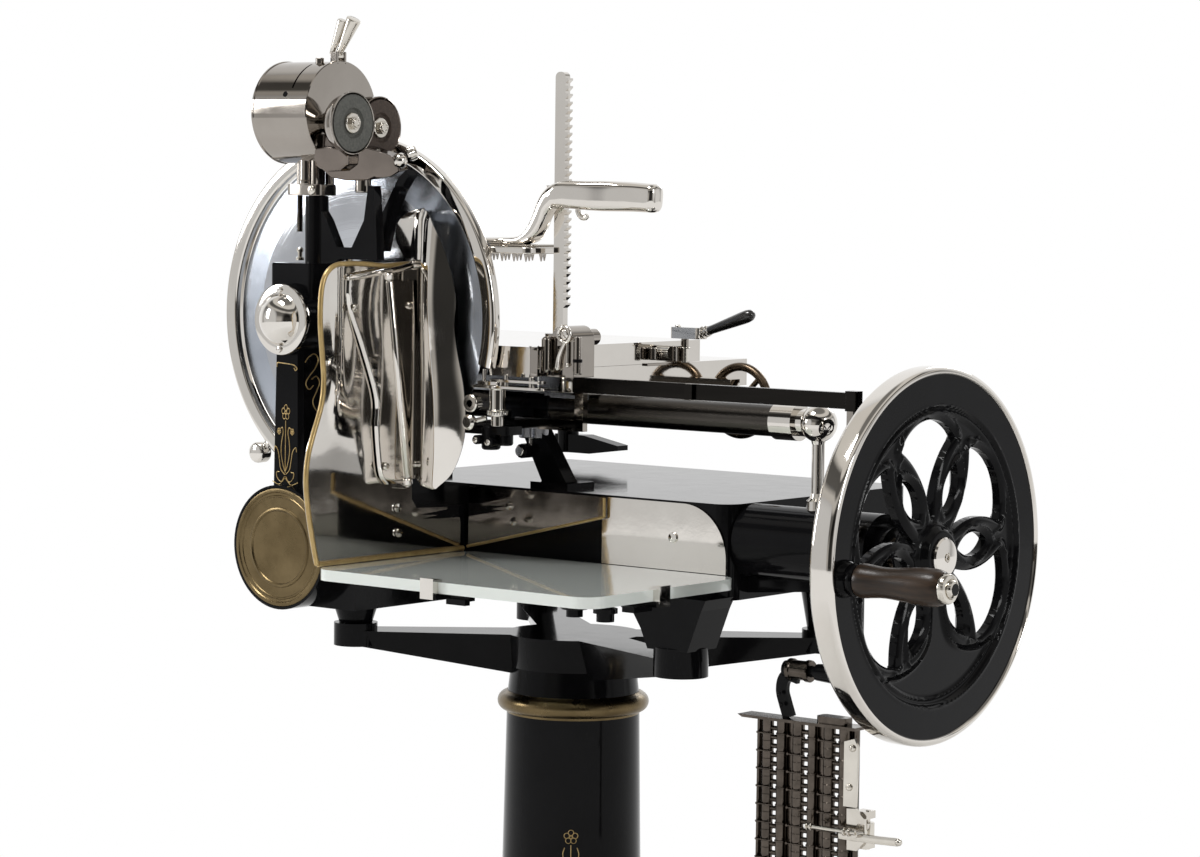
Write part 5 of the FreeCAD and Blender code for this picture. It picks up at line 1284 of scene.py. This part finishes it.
def gauge_pieces():
    """Levers, barrel and knobs that set the slice."""
    nickel = Piece().add(*rounded_block(178, 279, -15, 7, -70.5, -67.5, 7))
    nickel.add(*rounded_block(200, 276, -10, 3, -63.5, -60.5, 6))
    nickel.add(*rounded_block(183, 218, -11, 2, -67.5, -63.5, 6))
    nickel.rods(((192, -6, -70), (192, -6, -50), 2.2, 24, 0.5),
                ((258, -4, -70), (258, -4, -56), 3.4, 24, 0.5),
                ((222, -4, -68), (222, -4, -55), 2.6, 24, 0.5))
    nickel.add(*lathe([(0, -112), (7, -112), (7, -101), (11, -100), (11.4, -98), (11.2, -95),
                       (9.2, -94), (9, -90), (9, -72), (10.4, -71), (10.4, -68), (0, -68)],
                      GAUGE_STEM, Z, 48))
    nickel.rods((GAUGE_KNOB, GAUGE_KNOB + Y * 16, 4.5, 24))
    nickel.add(*lathe([(0, 0), (8.6, 0), (9.8, 1.2), (9.8, 3.6), (8.8, 4.6), (0, 4.6)],
                      GAUGE_KNOB, Y, 48))
    nickel.add(*lathe([(0, 0), (6, 0), (8.6, 2.6), (8.6, 7), (7, 9), (0, 9)],
                      v(180, -21, -109), Y, 40))
    nickel.rods(((180, -13, -109), (196, -6, -104), 3, 18))
    nickel.make("gauge_levers", NICKEL, "frame", "gauge_cluster", bevel=0.5, angle=40)
    ridged = Piece().add(*knurled(GAUGE_KNOB + Y * 5, GAUGE_KNOB + Y * 13, 8.2))
    ridged.add(*knurled(GAUGE_STEM - Z * 99, GAUGE_STEM - Z * 95, 11.8, 24))
    ridged.make("gauge_ridges", NICKEL_SOFT, "frame", angle=25)


def tube_end_pieces():
    """Sleeve, clamping lug and nuts on the near end of the guide tube."""
    sleeve = Piece().add(*lathe([(17.2, 108), (18.6, 108), (19.4, 109), (19.4, 149), (18.6, 150),
                                 (18.2, 150.4), (18.2, 184), (17.2, 185)], TUBE_AXIS, X, 72,
                                closed=True))
    sleeve.add(*knurled(v(150, 108, -149), v(150, 140, -149), 8.4, 14))
    sleeve.make("tube_sleeve", BLACK, "frame", bevel=0.6)
    lug = Piece().rods(((146, 125, -135), (146, 125, -112), 10.5, 36, 1.2),
                       ((162, 126, -135), (162, 126, -112), 10.5, 36, 1.2),
                       ((154, 134, -135), (154, 134, -112), 13, 36, 1.2))
    lug.make("tube_lug", GEAR, "frame", bevel=0.6)
    nut = Piece().rods(((154, 130, -143), (154, 130, -134), 11.4, 6))
    nut.add(*lathe([(0, -124), (4, -124), (11, -121), (16, -116.5), (15, -115.4), (0, -115.4)],
                   v(196, 130, 0), Z, 48))
    nut.rods(((150, 104, -149), (150, 109, -149), 6, 28, 0.8))
    nut.make("tube_nut", NICKEL, "frame", bevel=0.8)


def gauge_arm_pieces():
    """Black arm that carries the gauge, its studs, and the end block of the flat rail."""
    arm = Piece().add(*block(138, 164, 6, 110, -122, -112))
    arm.add(*rounded_block(153, 226, -7, 22, -122, -112, 4))
    arm.rods(((196, 2, -139), (196, 2, -112), 10.5, 36, 2),
             ((214, 6, -134), (214, 6, -112), 8, 30, 2))
    for x, y, z in ARM_STUDS:
        arm.rods(((x, y, z), (x, 10, z), 5.2, 24, 1))
    arm.make("gauge_arm", BLACK, "frame", "gauge_bracket", bevel=1.0)
    Piece().screws(-Y, (ARM_STUDS[0], 3.6, 2.2, 20), (ARM_STUDS[1], 3.6, 2.2, 70)).make(
        "gauge_studs", NICKEL, "frame", angle=30)
    end = Piece().add(*rounded_block(197, 248, 79.4, 88.6, -77.6, -59.4, 2.4))
    end.rods(((199, 84, -77.2), (199, 84, -59.8), 4.4, 32, 0.8))
    end.make("rail_end", NICKEL, "frame", bevel=0.8)


# ---- ornament -----------------------------------------------------------------------
GOLD_LINE_R = 0.55
COLUMN_FACE_Y = -118.15
COLUMN_SIDE_X = 20.1
PEDESTAL_FACE = atan2(-0.78, 0.62)


def column_front(x, z):
    """Point on the column's tapering front face."""
    return v(x * 0.74, COLUMN_FACE_Y + (z + 240) * 2 / 260.0, z)


def column_side(y, z):
    return v(COLUMN_SIDE_X + (20 - z) * 4 / 260.0, y, z)


def pedestal_face(u, z):
    """Point on the pedestal's round side, u millimetres round from the camera's side."""
    lean = PEDESTAL_FACE + u / 79.0
    radius = 79.05 + (-588 - z) * 0.017
    return v(PEDESTAL.x + radius * cos(lean), PEDESTAL.y + radius * sin(lean), z)


def gold_line(piece, points, place, radius=GOLD_LINE_R, steps=5):
    piece.add(*tube([place(a, b) for a, b in smooth_flat(points, steps)], radius, 8))


def flower(piece, centre, size, place, turn=90.0):
    """Five round petals round a small ring."""
    for x, z in arc(*centre, size, turn, turn + 288, 4):
        gold_line(piece, arc(x, z, 0.62 * size, 0, 360, 9), place, 0.45, 2)
    gold_line(piece, arc(*centre, 0.3 * size, 0, 360, 6), place, 0.4, 2)


def ornament_pieces():
    """Plain scrolls and flowers in gold line on the column and the pedestal."""
    gold = Piece()
    flower(gold, (-1, -103), 5.2, column_front)
    gold_line(gold, [(-1, -112), (-1, -140), (-1, -170)], column_front)
    for side in (-1, 1):
        for line in (((0.6, 168), (5, 160), (8.5, 148), (8, 136), (5, 126), (6.5, 120), (10, 121)),
                     ((1, 172), (9, 166), (12, 156), (15, 146), (21, 141), (23, 146)),
                     ((1, 174), (8, 180), (16, 176), (17.5, 170), (12, 169)),
                     ((1, 176), (12, 183), (26, 180))):
            gold_line(gold, [(-1 + side * a, -b) for a, b in line], column_front)
        flower(gold, (-1 + side * 13.5, -124), 2.2, column_front, 90 + 36 * side)
    gold_line(gold, [(-20, -53), (-19, -48.5), (-8, -48.6), (6, -49.2), (16, -50.6), (21, -54),
                     (18, -56), (15, -53.4)], column_front, 0.7)
    for line in (((-110, -47), (-104, -41), (-95, -38), (-89, -44), (-94, -54), (-103, -62),
                  (-109, -70), (-104, -77), (-97, -73)),
                 ((-100, -66), (-92, -63), (-87, -70), (-92, -80), (-98, -90), (-94, -99),
                  (-88, -103))):
        gold_line(gold, line, column_side, 0.7)
    flower(gold, (0, -580), 5.0, pedestal_face)
    gold_line(gold, [(0, -589), (0, -600), (0, -622)], pedestal_face)
    for side in (-1, 1):
        gold_line(gold, [(0, -620), (6 * side, -612), (9 * side, -600), (7 * side, -592)],
                  pedestal_face)
    gold.make("gold_ornament", GOLD, "frame", angle=60)


# ---- stacker ------------------------------------------------------------------------
STACKER_AXIS = v(0, 130, -364)
CHAIN_Y = 130.0
CHAIN_TOP_Z = -418.0
CHAIN_LOW_Z = -640.0
LEVER_PIN_X = 616.0
LEVER_PIN_Z = -525.0
BAR_Y = 112.0
# Place and radius of the two tubes of each ladder.
LADDERS = (((484.0, 6.4), (502.6, 5.8)), ((524.6, 6.6), (543.2, 5.4)), ((565.0, 6.6), (586.0, 7.4)))


def chain_pieces():
    """Three ladders of upright tubes with short rungs, rings and thin hooks."""
    y = CHAIN_Y
    for number, ((a, ra), (b, rb)) in enumerate(LADDERS):
        chain = Piece().rods(((a, y, -637), (a, y, -420), ra, 32),
                             ((b, y, -637), (b, y, -420), rb, 32))
        for i in range(21):
            z = -430.0 - 9.7 * i
            chain.rods(((a, y, z), (b, y, z), 2.7, 16))
        hook = a - ra - 2
        for i in range(11):
            z = -435.0 - 19.4 * i
            chain.rods(((hook, 122.4, z), (b - rb, 122.4, z), 1.0, 12),
                       ((hook, 121.4, z), (hook, 128, z), 1.3, 12),
                       ((b, y, z - 1.0), (b, y, z + 1.0), rb + 0.9, 28, 0.4),
                       ((a, y, z - 9.0), (a, y, z - 8.2), ra + 0.5, 28, 0.3))
        chain.make("roller_ladder_%d" % number, CHAIN, "stacker",
                   None if number else "stacker_chains")


def stacker_pieces():
    """Rack with its eye, the strap, and the bright side plate with the hinge block."""
    dark = Piece().add(*lathe([(6.4, 511), (11, 511), (12, 512), (12, 516), (10.6, 517),
                               (10.6, 534), (12, 535), (12, 539), (11, 540), (6.4, 540)],
                              STACKER_AXIS, X, 56, closed=True))
    dark.add(*prism([(452, 117, -417), (458, 117, -420), (606, 117, -420), (606, 117, -416.6)],
                    Y * 26))
    dark.rods(((472, CHAIN_Y, CHAIN_LOW_Z), (472, CHAIN_Y, CHAIN_TOP_Z), 2.0, 20))
    for x0, x1 in ((472, 479), (507, 519), (547, 560), (592, 600)):
        dark.add(*block(x0, x1, 133, 136, CHAIN_LOW_Z, CHAIN_TOP_Z))
    dark.add(*block(458, 606, 119, 141, -643, -639))
    dark.rods(((600, CHAIN_Y, CHAIN_LOW_Z), (600, CHAIN_Y, CHAIN_TOP_Z), 3.0, 20))
    dark.add(*rounded_block(552, 590, 121, 139, -417, -409, 5))
    dark.make("stacker_rack", CHAIN, "stacker", "stacker_frame", bevel=0.5)
    path = smooth_path([(524, 130, -372), (512, 130, -370), (504.5, 130, -376),
                        (502.5, 130, -388), (506, 130, -400), (512, 130, -416)], 5)
    strap = Piece().add(*sweep(path, [(-7, -3), (7, -3), (7, 3), (-7, 3), (-7, -3)], Y))
    strap.screws(-Y, ((503, 122.6, -390), 2.4, 1.2, 30), ((506, 122.6, -402), 2.4, 1.2, 30))
    strap.make("stacker_strap", BLACK, "stacker", bevel=0.8)
    bright = Piece().add(*prism([(596, BAR_Y, -500), (596, BAR_Y, -431), (609, BAR_Y, -427),
                                 (614, BAR_Y, -436), (612, BAR_Y, -500)], Y * 3.4))
    bright.add(*prism([(597, 117, -503), (608, 117, -502), (620, 117, -512), (621, 117, -536),
                       (610, 117, -547), (598, 117, -547)], Y * 4))
    for low, high in ((-513, -505), (-545, -537.6)):
        bright.add(*block(604, 620, 121, 138, low, high))
    bright.rods(((LEVER_PIN_X, CHAIN_Y, -546), (LEVER_PIN_X, CHAIN_Y, -504), 2.5, 20))
    bright.screws(-Y, ((607, BAR_Y, -437), 3.8, 2.4, 70), ((603.5, BAR_Y, -479), 3.8, 2.4, 20))
    bright.make("stacker_side", NICKEL_SOFT, "stacker", bevel=0.8)


def stacker_lever_piece():
    """Flat polished bar with a round end, its hub and the barred tail."""
    lever = Piece().add(*lathe([(2.7, -532.8), (7, -532.8), (7, -517.2), (2.7, -517.2)],
                               v(LEVER_PIN_X, CHAIN_Y, 0), Z, 40, closed=True))
    bar = smooth_path([(592, BAR_Y, -531), (616, BAR_Y, -531), (640, BAR_Y, -530.6),
                       (667, BAR_Y, -529.6)], 4)
    lever.add(*sweep(bar, [(-4.2, -2), (0, -2.8), (4.2, -2), (4.2, 2), (0, 2.8), (-4.2, 2),
                           (-4.2, -2)], Y))
    lever.add(*ball(bar[-1], 4.0, 24, 12))
    lever.rods(((LEVER_PIN_X, 124, -527), (LEVER_PIN_X, 104, -527), 4.0, 24),
               ((618, 104, LEVER_PIN_Z), (555, 104, LEVER_PIN_Z), 2.6, 20))
    for x in (556, 561, 604, 610):
        lever.rods(((x - 1.2, 104, LEVER_PIN_Z), (x + 1.2, 104, LEVER_PIN_Z), 4.6, 24, 0.5))
    lever.make("stacker_handle", NICKEL_SOFT, "stacker_lever_body", "stacker_lever", bevel=0.4)


for build in (flywheel_web_piece, flywheel_rim_piece, flywheel_cap_piece, crank_handle,
              guard_ring_piece, blade_piece, dome_piece, oiler_pieces, lid_piece,
              pedestal_pieces, cover_piece, bead_piece, leaf_pieces, swing_leaf_piece, wing_piece,
              holder_pieces, drum_pieces, cup_piece, hood_piece, stone_nuts, carrier_piece,
              sharpener_fittings, lever_piece, clamp_pieces, lever_stud_pieces,
              feed_lever_pieces, gauge_pieces, tube_end_pieces, gauge_arm_pieces,
              ornament_pieces, chain_pieces, stacker_pieces, stacker_lever_piece):
    build()


# ---- carried-over solids ------------------------------------------------------------
# Widths of the softened edges of the nodes that no piece above replaces.
SOFT_EDGES = {"bed_casting": 2.0, "gear_column": 2.0, "carriage_base": 2.0, "tube_stands": 2.0,
              "shaft_housing": 2.0, "sharpener_post": 2.0, "pedestal_head": 2.0,
              "meat_table": 1.6, "tray_glass": 1.6, "feed_rail": 1.0, "rail_bracket": 1.0,
              "carriage_leg": 1.0, "stacker_hanger": 1.0, "tray_frame": 0.8,
              "splash_plate": 0.5, "back_plate": 0.5, "tray_clips": 0.5, "rack_post": 0.5}
# The splash plate and the rail bracket take the shade-painted nickel.
CARRIED_LOOK = {"rail_bracket": NICKEL_SHADE_PAINTED, "splash_plate": NICKEL_SHADE_PAINTED,
                "feed_rail": BLACKENED}


def carry(name):
    """Gives a CAD node its finish and softened edges."""
    obj = NODES[name]
    obj.data.materials.clear()
    obj.data.materials.append(CARRIED_LOOK.get(name, SLOT_MATERIAL[SLOT_OF[name]]))
    for poly in obj.data.polygons:
        poly.material_index = 0
    if name in SOFT_EDGES:
        soften(obj, SOFT_EDGES[name], 35.0)


for name in NODES:
    if name not in REPLACED:
        carry(name)
